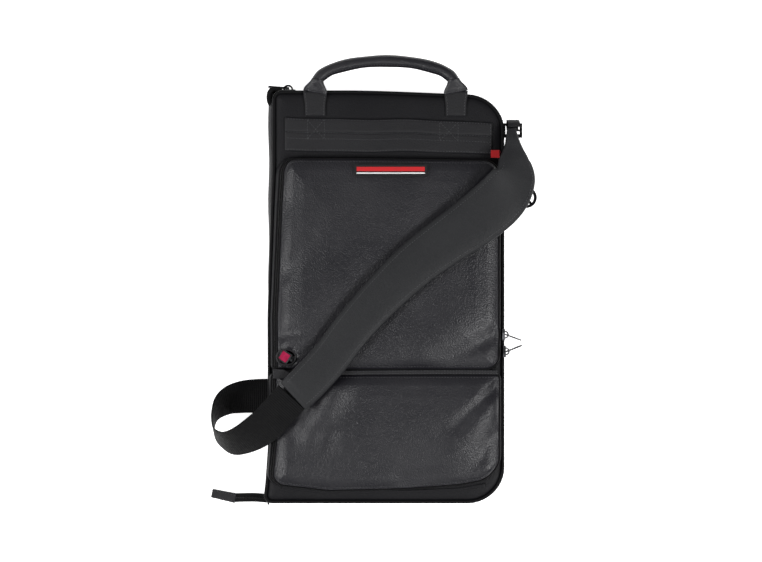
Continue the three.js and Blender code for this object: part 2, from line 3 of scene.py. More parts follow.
import bmesh
import bpy
import numpy as np
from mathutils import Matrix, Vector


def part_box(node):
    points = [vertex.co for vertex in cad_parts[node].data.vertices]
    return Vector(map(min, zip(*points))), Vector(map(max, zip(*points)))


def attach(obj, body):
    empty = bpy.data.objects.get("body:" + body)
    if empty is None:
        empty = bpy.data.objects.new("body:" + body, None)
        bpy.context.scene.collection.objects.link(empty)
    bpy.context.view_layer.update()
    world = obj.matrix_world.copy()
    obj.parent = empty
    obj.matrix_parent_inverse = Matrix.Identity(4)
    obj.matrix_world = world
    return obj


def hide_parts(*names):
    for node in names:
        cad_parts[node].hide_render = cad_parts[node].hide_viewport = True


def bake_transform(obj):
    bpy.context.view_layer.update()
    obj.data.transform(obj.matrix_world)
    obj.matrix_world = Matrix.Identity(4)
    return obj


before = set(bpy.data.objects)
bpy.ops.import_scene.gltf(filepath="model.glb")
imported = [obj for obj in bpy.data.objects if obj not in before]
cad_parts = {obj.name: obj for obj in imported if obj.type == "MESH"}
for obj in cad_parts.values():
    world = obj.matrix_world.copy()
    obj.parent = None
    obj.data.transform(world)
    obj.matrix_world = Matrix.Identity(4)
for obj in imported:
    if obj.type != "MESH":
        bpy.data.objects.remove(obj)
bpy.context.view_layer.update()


def box(node):
    """The low and the high corner of a CAD node, as arrays."""
    return tuple(np.array(corner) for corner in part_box(node))


BACK_LOW, BACK_HIGH = box("back_shell")
FRONT_LOW, FRONT_HIGH = box("front_shell")

# ---- the studio ----
# The bag lies on its back on a white floor that glows a little, seen from straight above with a
# long lens. Four soft lights stand high round it, so that every swelling shows a broad sheen.


def linked(name, data):
    """A new object that holds `data`, put into the scene."""
    made = bpy.data.objects.new(name, data)
    bpy.context.scene.collection.objects.link(made)
    return made


CAMERA_HEIGHT = 2.12
camera = linked("camera", bpy.data.cameras.new("camera"))
camera.data.lens = 85
camera.data.sensor_width = 36
camera.location = (-0.0077, 0.0212, CAMERA_HEIGHT)
bpy.context.scene.camera = camera


def soft_light(name, place, size, power, aim=(0.0, 0.0, 0.05)):
    """A square area light at `place`, turned so that it shines at `aim`."""
    light = linked(name, bpy.data.lights.new(name, "AREA"))
    light.data.size = size
    light.data.energy = power
    light.location = place
    towards = light.location.copy()
    towards.x, towards.y, towards.z = (a - p for a, p in zip(aim, place))
    light.rotation_euler = towards.to_track_quat("-Z", "Y").to_euler()


soft_light("light_head", (-1.0, 1.5, 2.0), 1.2, 6)
soft_light("light_foot", (0.4, -1.5, 1.8), 1.0, 7)
soft_light("light_left", (-1.5, -0.4, 1.8), 0.9, 32)
soft_light("light_right", (1.4, -0.55, 2.1), 0.8, 36, aim=(0.08, -0.05, 0.08))
world = bpy.data.worlds.new("studio")
world.use_nodes = True
sky = world.node_tree
dim = sky.nodes["Background"]
bright = sky.nodes.new("ShaderNodeBackground")
for backdrop, strength in ((dim, 0.20), (bright, 1.0)):
    backdrop.inputs["Color"].default_value = (1, 1, 1, 1)
    backdrop.inputs["Strength"].default_value = strength
seen = sky.nodes.new("ShaderNodeMixShader")
sky.links.new(sky.nodes.new("ShaderNodeLightPath").outputs["Is Camera Ray"], seen.inputs["Fac"])
sky.links.new(dim.outputs["Background"], seen.inputs[1])
sky.links.new(bright.outputs["Background"], seen.inputs[2])
sky.links.new(seen.outputs["Shader"], sky.nodes["World Output"].inputs["Surface"])
bpy.context.scene.world = world
bpy.context.scene.view_settings.view_transform = "Standard"

FLOOR = 14.0
FLOOR_Z = -0.0005
floor_mesh = bpy.data.meshes.new("floor")
floor_corners = [(x * FLOOR, y * FLOOR, FLOOR_Z) for x, y in ((-1, -1), (1, -1), (1, 1), (-1, 1))]
floor_mesh.from_pydata(floor_corners, [], [(0, 1, 2, 3)])
floor = linked("floor", floor_mesh)
floor_paint = bpy.data.materials.new("floor_paint")
floor_paint.use_nodes = True
paint = floor_paint.node_tree.nodes["Principled BSDF"].inputs
paint["Base Color"].default_value = (0.97, 0.97, 0.97, 1)
paint["Roughness"].default_value = 0.9
paint["Emission Color"].default_value = (1, 1, 1, 1)
paint["Emission Strength"].default_value = 0.85
floor.data.materials.append(floor_paint)

# ---- leatherette ----
# Vinyl on a knitted back, pressed with a fine pebble grain. It is bluish black and satin, and
# its tone drifts a little from place to place where it has been handled.


def shader_group(name, inputs):
    """An empty node group with float inputs (name, value) and the outputs Height and Tone."""
    tree = bpy.data.node_groups.new(name, "ShaderNodeTree")
    for socket, value in inputs:
        tree.interface.new_socket(socket, in_out="INPUT", socket_type="NodeSocketFloat").default_value = value
    for socket in ("Height", "Tone"):
        tree.interface.new_socket(socket, in_out="OUTPUT", socket_type="NodeSocketFloat")
    return tree, tree.nodes.new("NodeGroupInput"), tree.nodes.new("NodeGroupOutput")


def maths(tree, operation, *values):
    """A math node whose inputs are numbers or sockets; gives its output."""
    node = tree.nodes.new("ShaderNodeMath")
    node.operation = operation
    for socket, value in zip(node.inputs, values):
        if isinstance(value, (int, float)):
            socket.default_value = value
        else:
            tree.links.new(value, socket)
    return node.outputs[0]


def noise(tree, place, scale, detail=2.0):
    """A noise texture's value at `place`. Its scale is a number or a socket."""
    node = tree.nodes.new("ShaderNodeTexNoise")
    node.inputs["Detail"].default_value = detail
    tree.links.new(place, node.inputs["Vector"])
    if isinstance(scale, (int, float)):
        node.inputs["Scale"].default_value = scale
    else:
        tree.links.new(scale, node.inputs["Scale"])
    return node.outputs[0]


def pebble_grain():
    """Height is the distance from the nearest of many scattered cells, broken up by a finer
    noise. Tone is a slow noise, for colour and gloss that drift over the surface."""
    tree, given, out = shader_group("pebble_grain", [("Cells", 800.0)])
    place = tree.nodes.new("ShaderNodeTexCoord").outputs["Object"]
    cells = tree.nodes.new("ShaderNodeTexVoronoi")
    cells.feature = "SMOOTH_F1"
    tree.links.new(place, cells.inputs["Vector"])
    tree.links.new(given.outputs["Cells"], cells.inputs["Scale"])
    fine = noise(tree, place, maths(tree, "MULTIPLY", given.outputs["Cells"], 0.35), 4)
    domes = maths(tree, "SUBTRACT", 1.0, cells.outputs["Distance"])
    tree.links.new(maths(tree, "MULTIPLY_ADD", fine, 0.5, domes), out.inputs["Height"])
    tree.links.new(noise(tree, place, 14, 5), out.inputs["Tone"])
    return tree


PEBBLE_GRAIN = pebble_grain()


def finish_of(name, group, settings, colours, roughness, bump, metallic=0.0, sheen=0.0, gloss=0.3):
    """A Principled material that a pattern group drives: Tone blends two colours and two
    roughnesses, and Height feeds a bump of `bump` = (strength, distance)."""
    material = bpy.data.materials.new(name)
    material.use_nodes = True
    tree = material.node_tree
    shader = tree.nodes["Principled BSDF"]
    pattern = tree.nodes.new("ShaderNodeGroup")
    pattern.node_tree = group
    for socket, value in settings.items():
        pattern.inputs[socket].default_value = value
    blend = tree.nodes.new("ShaderNodeMix")
    blend.data_type = "RGBA"
    ends = [socket for socket in blend.inputs if socket.type == "RGBA"]
    for socket, colour in zip(ends, colours):
        socket.default_value = (*colour, 1)
    tree.links.new(pattern.outputs["Tone"], blend.inputs["Factor"])
    mixed = next(socket for socket in blend.outputs if socket.type == "RGBA")
    tree.links.new(mixed, shader.inputs["Base Color"])
    spread = tree.nodes.new("ShaderNodeMapRange")
    spread.inputs["From Min"].default_value = 0.3
    spread.inputs["From Max"].default_value = 0.7
    spread.inputs["To Min"].default_value, spread.inputs["To Max"].default_value = roughness
    tree.links.new(pattern.outputs["Tone"], spread.inputs["Value"])
    tree.links.new(spread.outputs["Result"], shader.inputs["Roughness"])
    relief = tree.nodes.new("ShaderNodeBump")
    relief.inputs["Strength"].default_value, relief.inputs["Distance"].default_value = bump
    tree.links.new(pattern.outputs["Height"], relief.inputs["Height"])
    tree.links.new(relief.outputs["Normal"], shader.inputs["Normal"])
    shader.inputs["Metallic"].default_value = metallic
    shader.inputs["Sheen Weight"].default_value = sheen
    shader.inputs["Specular IOR Level"].default_value = gloss
    return material


LEATHER = finish_of(
    "leatherette", PEBBLE_GRAIN, {"Cells": 800.0},
    ((0.0044, 0.0044, 0.0072), (0.0116, 0.0110, 0.0142)), (0.33, 0.46), (0.95, 0.00040), gloss=0.42)
SHELL_LEATHER = finish_of(
    "shell_leatherette", PEBBLE_GRAIN, {"Cells": 850.0},
    ((0.0042, 0.0042, 0.0054), (0.0095, 0.0093, 0.0108)), (0.46, 0.60), (0.8, 0.00034), gloss=0.16)
DARK_LEATHER = finish_of(
    "dark_leatherette", PEBBLE_GRAIN, {"Cells": 1000.0},
    ((0.0050, 0.0050, 0.0064), (0.0110, 0.0108, 0.0126)), (0.44, 0.58), (0.8, 0.00034), gloss=0.28)
PAD_LEATHER = finish_of(
    "pad_leatherette", PEBBLE_GRAIN, {"Cells": 1100.0},
    ((0.0100, 0.0104, 0.0118), (0.0185, 0.0190, 0.0206)), (0.46, 0.58), (0.8, 0.00034), gloss=0.24)

# ---- the case's shape ----
# Both halves are cut to one outline. Empty, the case leans a little: its spine side drifts
# outwards towards the foot, and its head drops at the side that unzips.
SIDEWAYS, HEADWARDS, UP = np.eye(3)
SHELL_THICKNESS = 0.0028
SPINE_CORNER = 0.008
ZIP_CORNER = 0.040
CASE = (BACK_LOW[0], BACK_HIGH[0], BACK_LOW[1], BACK_HIGH[1],
        (SPINE_CORNER, ZIP_CORNER, ZIP_CORNER, SPINE_CORNER))
LEAN_AT = (-0.2375, -0.215, -0.17, -0.02, 0.10, 0.15, 0.24)
LEAN_BY = (-0.010, -0.006, -0.0015, -0.0025, 0.003, 0.006, 0.006)
FOOT_RISE = 0.006
HINGE_HEIGHT = 0.040
HEAD_DROP = 0.005


def ease(value, start, end):
    """0 before start, 1 after end, and smooth between: 3t^2 - 2t^3."""
    t = np.clip((value - start) / (end - start), 0, 1)
    return t * t * (3 - 2 * t)


def settled(points):
    """The case's lean: x moves with y near the spine, and y moves near the foot and the head. The
    lean fades to nothing at the hinge's height, so that the halves clear each other as they open."""
    moved = np.array(points, float)
    x, y, z = moved[..., 0].copy(), moved[..., 1].copy(), moved[..., 2]
    lean = np.interp(y, LEAN_AT, LEAN_BY) * ease(-x, 0.07, 0.134)
    moved[..., 0] += lean * ease(np.abs(z - HINGE_HEIGHT), 0.003, 0.028)
    moved[..., 1] += FOOT_RISE * ease(-y, 0.05, 0.2375)
    moved[..., 1] -= HEAD_DROP * ease(x, -0.05, 0.13) * ease(y, 0.10, 0.2375)
    return moved


def rounded(rect, grow=0.0, along=(44, 70), corner=12):
    """Points round a rectangle with a radius of its own at each corner, grown by `grow`: straight
    runs and quarter circles, always the same number of points in each, so that rings match."""
    left, right, low, high, radii = rect
    top_left, top_right, low_right, low_left = (max(r + grow, 0.0008) for r in radii)
    x0, x1, y0, y1 = left - grow, right + grow, low - grow, high + grow
    turn = np.linspace(0, np.pi / 2, corner)[:, None]

    def arc(centre, radius, start):
        return np.array(centre) + radius * np.hstack([np.cos(turn + start), np.sin(turn + start)])

    def run(a, b, count):
        return np.linspace(a, b, count + 2)[1:-1]

    return np.vstack([
        run((x0 + low_left, y0), (x1 - low_right, y0), along[0]),
        arc((x1 - low_right, y0 + low_right), low_right, -np.pi / 2),
        run((x1, y0 + low_right), (x1, y1 - top_right), along[1]),
        arc((x1 - top_right, y1 - top_right), top_right, 0),
        run((x1 - top_right, y1), (x0 + top_left, y1), along[0]),
        arc((x0 + top_left, y1 - top_left), top_left, np.pi / 2),
        run((x0, y1 - top_left), (x0, y0 + low_left), along[1]),
        arc((x0 + low_left, y0 + low_left), low_left, np.pi),
    ])


def skin(name, rings, start=None, end=None, wrap=True):
    """A mesh over rings of points (rows, columns, 3): a quad between each four neighbours, and a
    fan to a single point where `start` or `end` closes it. Its UV is (round, along) in metres."""
    rows, columns, _ = rings.shape
    points = [rings.reshape(-1, 3)]
    across = columns if wrap else columns - 1
    i, j = np.meshgrid(np.arange(rows - 1), np.arange(across), indexing="ij")
    after = (j + 1) % columns
    near, far = i * columns, (i + 1) * columns
    quads = np.stack([near + j, near + after, far + after, far + j], -1)
    faces = [quads.reshape(-1, 4).tolist()]
    ring = np.arange(columns)
    for tip, row, forward in ((start, 0, False), (end, rows - 1, True)):
        if tip is None:
            continue
        index = sum(len(p) for p in points)
        points.append(np.asarray(tip, float).reshape(1, 3))
        a, b = row * columns + ring, row * columns + (ring + 1) % columns
        order = (a, b) if forward else (b, a)
        faces.append(np.stack([*order, np.full(columns, index)], -1).tolist())
    mesh = bpy.data.meshes.new(name)
    mesh.from_pydata(np.vstack(points).tolist(), [], [f for part in faces for f in part])
    closed = np.concatenate([rings, rings[:, :1]], 1) if wrap else rings
    round_by = np.cumsum(np.linalg.norm(np.diff(closed, axis=1, prepend=closed[:, :1]), axis=2), 1)
    along_by = np.cumsum(np.linalg.norm(np.diff(rings, axis=0, prepend=rings[:1]), axis=2), 0).mean(1)
    grid = np.stack([round_by, np.broadcast_to(along_by[:, None], round_by.shape)], -1)
    uv = np.stack([grid[i, j], grid[i, j + 1], grid[i + 1, j + 1], grid[i + 1, j]], 2).reshape(-1, 2)
    layer = mesh.uv_layers.new(name="fabric")
    flat = np.zeros((len(layer.data), 2))
    flat[: len(uv)] = uv
    layer.data.foreach_set("uv", flat.astype(np.float32).ravel())
    mesh.polygons.foreach_set("use_smooth", np.ones(len(mesh.polygons), bool))
    mesh.validate()
    piece = linked(name, mesh)
    return piece


def at_height(outline, z):
    """Points of (x, y), all carried to one height."""
    return np.column_stack([outline, np.full(len(outline), z)])


def tray(name, rect, profile, relief=None, rings=26, hang=settled):
    """A panel with its wall: rings shrink from the first (grow, z) of `profile` to the panel's
    middle, and the rest of the profile carries the outline over the edge and down the wall."""
    first = rounded(rect, profile[0][0])
    middle = np.array([(rect[0] + rect[1]) / 2, (rect[2] + rect[3]) / 2])
    shares = np.linspace(0, 1, rings + 1)[1:-1]
    flat = [at_height(middle + s * (first - middle), profile[0][1]) for s in shares]
    edge = [at_height(rounded(rect, grow), z) for grow, z in profile]
    points = np.array(flat + edge)
    tip = np.array([*middle, profile[0][1]])
    if relief:
        points = relief(points)
        tip = relief(tip[None, None])[0, 0]
    return skin(name, hang(points), start=hang(tip[None])[0])


def outwards(piece, towards_z):
    """Turns every face round if the last of them looks the wrong way along Z."""
    if piece.data.polygons[-1].normal.z * towards_z < 0:
        piece.data.flip_normals()


def wall_of(piece, thickness, towards_z=0):
    """Gives a sheet its thickness, inwards from the side that shows. `towards_z` first turns its
    faces up or down."""
    if towards_z:
        outwards(piece, towards_z)
    solid = piece.modifiers.new("thickness", "SOLIDIFY")
    solid.thickness = thickness
    solid.offset = -1


def place(piece, material, slot, body, *nodes):
    """The piece's finish, the body that it moves with and the CAD nodes that it stands for. A
    piece that spans a joint has no body of its own and stays where it is built."""
    piece.data.materials.append(material)
    if body:
        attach(piece, body)
    if nodes:
        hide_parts(*nodes)
    return piece


# ---- back shell ----
# The half that lies on the table: a padded panel and its wall, cut and sewn from leatherette over
# thin foam. Its face is held flat by a board, and its wall bows out a little.
back_edge = [(-0.012, 0.0), (-0.007, 0.0001), (-0.0035, 0.0006), (-0.0012, 0.0022), (-0.0002, 0.005),
             (0.0006, 0.011), (0.0010, 0.018), (0.0006, 0.026), (0.0, BACK_HIGH[2] - 0.001),
             (-0.0006, BACK_HIGH[2])]
back_shell = tray("back_shell_cover", CASE, back_edge)
wall_of(back_shell, SHELL_THICKNESS, -1)
place(back_shell, SHELL_LEATHER, "leatherette", "root", "back_shell")

# ---- front shell ----
# The half with the pockets: the same panel and wall, the other way up. Between the pockets and
# the handle its face shows, a little hollow under the stitched band.
front_low, front_top = FRONT_LOW[2], FRONT_HIGH[2]
front_edge = [(-0.014, front_top), (-0.008, front_top - 0.0002), (-0.004, front_top - 0.0010),
              (-0.0014, front_top - 0.0026), (-0.0002, front_top - 0.005), (0.0003, front_top - 0.0085),
              (0.0, front_low + 0.001), (-0.0006, front_low)]
front_shell = tray("front_shell_cover", CASE, front_edge)
wall_of(front_shell, SHELL_THICKNESS, 1)
place(front_shell, SHELL_LEATHER, "leatherette", "front_cover", "front_shell")

# ---- lining ----
# Plain nylon, glued inside both halves. Woven one over one, so it shows a fine square mesh.


def plain_weave():
    """Height is the sum of two sine waves at right angles over the cloth, one for each thread."""
    tree, given, out = shader_group("plain_weave", [("Threads", 900.0)])
    place_in = tree.nodes.new("ShaderNodeTexCoord").outputs["Object"]
    split = tree.nodes.new("ShaderNodeSeparateXYZ")
    tree.links.new(place_in, split.inputs[0])
    waves = []
    for axis in ("X", "Y"):
        angle = maths(tree, "MULTIPLY", split.outputs[axis], given.outputs["Threads"])
        waves.append(maths(tree, "SINE", maths(tree, "MULTIPLY", angle, 2 * math.pi)))
    tree.links.new(maths(tree, "MULTIPLY", *waves), out.inputs["Height"])
    tree.links.new(noise(tree, place_in, 30), out.inputs["Tone"])
    return tree


LINING = finish_of("lining_nylon", plain_weave(), {"Threads": 900.0},
                   ((0.010, 0.0105, 0.012), (0.020, 0.021, 0.024)), (0.7, 0.85), (0.3, 0.0001), sheen=0.2)


LINING_THICKNESS = 0.0008


def lining(name, node, panel_z, rim_z, body):
    """A tray inside the shell: its panel at panel_z, its rim at rim_z."""
    low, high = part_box(node)
    radii = tuple(max(r - 0.0033, 0.001) for r in CASE[4])
    rect = (low[0], high[0], low[1], high[1], radii)
    bend = 0.003 * math.copysign(1, rim_z - panel_z)
    profile = [(-0.006, panel_z), (-0.0015, panel_z + 0.25 * bend), (-0.0002, panel_z + bend),
               (0.0, rim_z)]
    piece = tray(name, rect, profile)
    wall_of(piece, LINING_THICKNESS, rim_z - panel_z)
    return place(piece, LINING, "lining", body, node)


back_lining_low, back_lining_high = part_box("back_lining")
front_lining_low, front_lining_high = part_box("front_lining")
lining("back_lining_cloth", "back_lining", back_lining_low[2] + 0.001, back_lining_high[2], "root")
lining("front_lining_cloth", "front_lining", front_lining_high[2] - 0.001, front_lining_low[2], "front_cover")

# ---- edge piping ----
# A cord wrapped in leatherette and sewn into the seam where each face meets its wall.
PIPING = finish_of(
    "piping_leatherette", PEBBLE_GRAIN, {"Cells": 1200.0},
    ((0.0016, 0.0016, 0.0020), (0.0034, 0.0034, 0.0040)), (0.55, 0.68), (0.3, 0.00012), gloss=0.12)


def loop_cord(name, centre, radius, sides=10):
    """A round cord round a closed path: at each point a circle in the plane of Z and outwards."""
    along = np.roll(centre, -1, 0) - np.roll(centre, 1, 0)
    out = np.column_stack([along[:, 1], -along[:, 0], np.zeros(len(along))])
    out /= np.linalg.norm(out, axis=1, keepdims=True)
    angle = np.linspace(0, 2 * np.pi, sides, endpoint=False)
    c, s = np.cos(angle)[:, None, None], np.sin(angle)[:, None, None]
    rings = centre[None] + radius * (c * out[None] + s * UP)
    rings = np.concatenate([rings, rings[:1]], 0)
    return turned_out(skin(name, rings), weld=True)


def turned_out(piece, weld=False):
    """Turns a closed piece's faces outwards; `weld` first joins vertices that lie on each other."""
    work = bmesh.new()
    work.from_mesh(piece.data)
    if weld:
        bmesh.ops.remove_doubles(work, verts=work.verts, dist=1e-6)
    bmesh.ops.recalc_face_normals(work, faces=work.faces)
    work.to_mesh(piece.data)
    work.free()
    return piece


PIPING_RADIUS = 0.0021


def piping(name, node, body):
    """The cord round one half of the case, at the height of its CAD piping."""
    low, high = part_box(node)
    outline = rounded(CASE, 0.0001)
    centre = settled(at_height(outline, (low[2] + high[2]) / 2))
    return place(loop_cord(name, centre, PIPING_RADIUS), PIPING, "piped_edge", body, node)


piping("back_piping_cord", "back_piping", "root")
piping("front_piping_cord", "front_piping", "front_cover")

# ---- ribbons ----
# Webbing, tapes and the shoulder pad are all a section carried along a path.


def smooth_path(stations, steps):
    """A Catmull-Rom curve through rows of numbers, `steps` samples to each span."""
    rows = np.asarray(stations, float)
    padded = np.vstack([2 * rows[0] - rows[1], rows, 2 * rows[-1] - rows[-2]])
    t = np.linspace(0, 1, steps, endpoint=False)[:, None]
    spans = []
    for a, b, c, d in zip(padded, padded[1:], padded[2:], padded[3:]):
        bend, twist = 2 * a - 5 * b + 4 * c - d, 3 * b - a - 3 * c + d
        spans.append(0.5 * (2 * b + (c - a) * t + bend * t**2 + twist * t**3))
    return np.vstack([*spans, rows[-1:]])


def directions(centre, across):
    """Unit vectors at each station: along the path, across it and up from its face."""
    along = np.gradient(centre, axis=0)
    along /= np.linalg.norm(along, axis=1, keepdims=True)
    side = across - along * np.sum(across * along, 1, keepdims=True)
    side /= np.linalg.norm(side, axis=1, keepdims=True)
    return along, side, np.cross(side, along)


def band_section(sides=20, power=0.35):
    """A flat band's section with rounded edges: (cos, sin) raised to a power, signs kept."""
    angle = np.linspace(0, 2 * np.pi, sides, endpoint=False)
    c, s = np.cos(angle), np.sin(angle)
    return np.sign(c) * np.abs(c) ** power, np.sign(s) * np.abs(s) ** power


def swept(name, centre, across, half_width, half_thick, section=None, lift=0.0):
    """A section carried along a path: each ring is centre + u * half width * side
    + (v * half thickness + lift) * up. A fan closes each end."""
    u, v = section if section is not None else band_section()
    _, side, up = directions(centre, across)
    width = np.broadcast_to(half_width, len(centre))[:, None, None]
    thick = np.broadcast_to(half_thick, len(centre))[:, None, None]
    rings = (centre[:, None] + u[None, :, None] * width * side[:, None]
             + (v[None, :, None] * thick + lift) * up[:, None])
    return turned_out(skin(name, rings, start=rings[0].mean(0), end=rings[-1].mean(0)))


# ---- webbing ----
# Black polypropylene, woven in ribs that run across it, with a fine twill along the ribs.


def rib_weave():
    """Height is a rounded rib across the band, |sin| of the length, times a twill wave that
    shifts from rib to rib. Tone is a slow noise, for threads that catch the light."""
    tree, given, out = shader_group("rib_weave", [("Ribs", 420.0), ("Twill", 700.0)])
    coordinates = tree.nodes.new("ShaderNodeTexCoord")
    split = tree.nodes.new("ShaderNodeSeparateXYZ")
    tree.links.new(coordinates.outputs["UV"], split.inputs[0])
    ribs = maths(tree, "MULTIPLY", split.outputs["Y"], given.outputs["Ribs"])
    rib = maths(tree, "ABSOLUTE", maths(tree, "SINE", maths(tree, "MULTIPLY", ribs, math.pi)))
    twill_angle = maths(tree, "MULTIPLY_ADD", split.outputs["X"], given.outputs["Twill"], ribs)
    twill = maths(tree, "SINE", maths(tree, "MULTIPLY", twill_angle, 2 * math.pi))
    tree.links.new(maths(tree, "MULTIPLY_ADD", twill, 0.25, rib), out.inputs["Height"])
    tree.links.new(noise(tree, coordinates.outputs["Object"], 220), out.inputs["Tone"])
    return tree


RIB_WEAVE = rib_weave()
WEBBING = finish_of(
    "webbing_weave", RIB_WEAVE, {"Ribs": 420.0, "Twill": 500.0},
    ((0.0018, 0.0018, 0.0020), (0.0055, 0.0055, 0.0060)), (0.6, 0.8), (0.9, 0.0004), gloss=0.15)
ZIP_TAPE = finish_of(
    "zip_tape_weave", RIB_WEAVE, {"Ribs": 900.0, "Twill": 900.0},
    ((0.0020, 0.0020, 0.0023), (0.0045, 0.0045, 0.0050)), (0.65, 0.8), (0.6, 0.0002), gloss=0.15)
COIL = finish_of(
    "zip_coil_nylon", PEBBLE_GRAIN, {"Cells": 1500.0},
    ((0.0030, 0.0030, 0.0034), (0.0060, 0.0060, 0.0066)), (0.30, 0.40), (0.1, 0.0001))

# ---- main zip ----
# Two woven tapes and two rows of nylon coil, round the head, the side and the foot. Each row's
# turns stand side by side, and the two rows mesh along the middle.
ZIP_STARTS = CASE[0] + 0.012


def three_sides(grow, z):
    """The case's outline without its spine side, from the foot round to the head."""
    outline = rounded(CASE, grow, along=(88, 140), corner=24)
    kept = outline[: 2 * 88 + 140 + 2 * 24]
    kept = kept[kept[:, 0] > ZIP_STARTS]
    return settled(at_height(kept, z))


def even_steps(path, pitch):
    """Points every `pitch` along a path, and the unit direction at each."""
    length = np.concatenate([[0], np.cumsum(np.linalg.norm(np.diff(path, axis=0), axis=1))])
    at = np.arange(pitch / 2, length[-1], pitch)

    def reached(where):
        """The points at these lengths along the path, by straight interpolation."""
        return np.column_stack([np.interp(where, length, path[:, k]) for k in range(3)])

    along = reached(at + pitch / 4) - reached(at - pitch / 4)
    return reached(at), along / np.linalg.norm(along, axis=1, keepdims=True)


def studs(name, points, axes, size):
    """Many small rounded bars as one mesh: each is three rings of six and two tips, set on its
    own three axes and scaled by `size` (along, across, up)."""
    angle = np.linspace(0, 2 * np.pi, 6, endpoint=False)
    circle = np.column_stack([np.zeros(6), np.cos(angle), np.sin(angle)])
    end, shift = circle * 0.75, [0.7, 0, 0]
    shape = np.vstack([[[-1, 0, 0]], end - shift, circle, end + shift, [[1, 0, 0]]])
    shape = shape * np.asarray(size) / 2
    axes = [np.broadcast_to(axis, points.shape) for axis in axes]
    k = np.arange(6)
    n = (k + 1) % 6
    faces = [(0, 1 + b, 1 + a) for a, b in zip(k, n)]
    faces += [(s + a, s + b, s + 6 + b, s + 6 + a) for s in (1, 7) for a, b in zip(k, n)]
    faces += [(19, 13 + a, 13 + b) for a, b in zip(k, n)]
    world_points = points[:, None] + np.einsum("vk,nkc->nvc", shape, np.stack(axes, 1))
    count = len(shape)
    everything = [tuple(v + i * count for v in face) for i in range(len(points)) for face in faces]
    mesh = bpy.data.meshes.new(name)
    mesh.from_pydata(world_points.reshape(-1, 3).tolist(), [], everything)
    mesh.polygons.foreach_set("use_smooth", np.ones(len(mesh.polygons), bool))
    return turned_out(linked(name, mesh))


def coil_row(name, path, pitch, size):
    """Turns of coil set across a path, standing along Z."""
    points, along = even_steps(path, pitch)
    return studs(name, points, (UP, along, np.cross(along, UP)), size)


TAPE_HALF_THICK = 0.0006
COIL_PITCH = 0.0017


def main_zip(side, body):
    """One half's tape, standing on edge round three sides, and its row of coil."""
    tape_low, tape_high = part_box(f"main_zip_tape_{side}")
    coil_low, coil_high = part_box(f"main_zip_coil_{side}")
    path = three_sides(-0.0008, (tape_low[2] + tape_high[2]) / 2)
    half_wide = (tape_high[2] - tape_low[2]) / 2
    tape = swept(f"main_zip_tape_{side}_weave", path, UP, half_wide, TAPE_HALF_THICK)
    place(tape, ZIP_TAPE, "zip_tape", body, f"main_zip_tape_{side}")
    coil_path = three_sides(-0.0006, (coil_low[2] + coil_high[2]) / 2)
    coil = coil_row(f"main_zip_coil_{side}_turns", coil_path, COIL_PITCH, (0.0019, 0.0013, 0.0020))
    place(coil, COIL, "zip_coil", body, f"main_zip_coil_{side}")


main_zip("back", "root")
main_zip("front", "front_cover")

# The zip's end is folded over at the head of the spine.
zip_end = smooth_path([
    (-0.1230, 0.2415, 0.040), (-0.1300, 0.2420, 0.041), (-0.1345, 0.2395, 0.042),
    (-0.1362, 0.2340, 0.041), (-0.1355, 0.2275, 0.040), (-0.1325, 0.2225, 0.039),
], 8)
zip_fold = swept("main_zip_end_fold", zip_end, UP, 0.0105, 0.0034)
place(zip_fold, ZIP_TAPE, "zip_tape", "root")

# ---- spine ----
# A strip of leatherette sewn to both halves along the left side. It is the hinge, which bows out
# when the case is shut and lies flat when it is open; here it is built only bowed out, as when shut.
spine_low, spine_high = box("spine_panel")
spine_y = np.linspace(spine_low[1], spine_high[1], 90)
spine_s = np.linspace(0, 1, 18)
grid_y, grid_s = np.meshgrid(spine_y, spine_s)
bow = 0.0022 * np.sin(np.pi * grid_s) + 0.0006 * np.sin(grid_y * 70) * np.sin(np.pi * grid_s)
spine_z = spine_low[2] + grid_s * (spine_high[2] - spine_low[2])
spine_points = np.stack([spine_low[0] - bow, grid_y, spine_z], -1)
spine = skin("spine_strip", settled(spine_points), wrap=False)
if spine.data.polygons[0].normal.x > 0:
    spine.data.flip_normals()
wall_of(spine, 0.001)
place(spine, SHELL_LEATHER, "leatherette", None, "spine_panel")
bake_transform(spine)

# ---- stick sleeves ----
# Six tunnels of lining nylon sewn side by side to the back's lining, each for a pair of sticks.
# A bound hem runs over their mouths.
SLEEVES = 6
sleeve_low, sleeve_high = box("stick_sleeves")
sleeve_width = (sleeve_high[0] - sleeve_low[0]) / SLEEVES
sleeve_u = np.linspace(0, SLEEVES, SLEEVES * 20 + 1)
sleeve_v = np.linspace(sleeve_low[1] + 0.0015, sleeve_high[1], 60)
across_sleeves, along_sleeves = np.meshgrid(sleeve_u, sleeve_v)
height = sleeve_high[2] - sleeve_low[2]
swell = np.sqrt(np.clip(1 - (2 * (across_sleeves % 1) - 1) ** 2, 0, 1))
closing = ease(along_sleeves, sleeve_low[1], sleeve_low[1] + 0.02)
sleeve_points = np.stack([
    sleeve_low[0] + across_sleeves * sleeve_width, along_sleeves,
    sleeve_low[2] + 0.0016 + (height - 0.0022) * swell * (0.45 + 0.55 * closing)
    + 0.0004 * np.sin(along_sleeves * 90 + across_sleeves * 3) * swell,
], -1)
sleeves = skin("stick_sleeves_cloth", sleeve_points, wrap=False)
wall_of(sleeves, 0.0009, 1)
place(sleeves, LINING, "lining", "root", "stick_sleeves")
hem_path = sleeve_points[-1] + [0, 0.0002, 0.0003]
hem = swept("sleeve_mouth_hem", hem_path, HEADWARDS, 0.004, 0.0007)
place(hem, WEBBING, "webbing", "root")

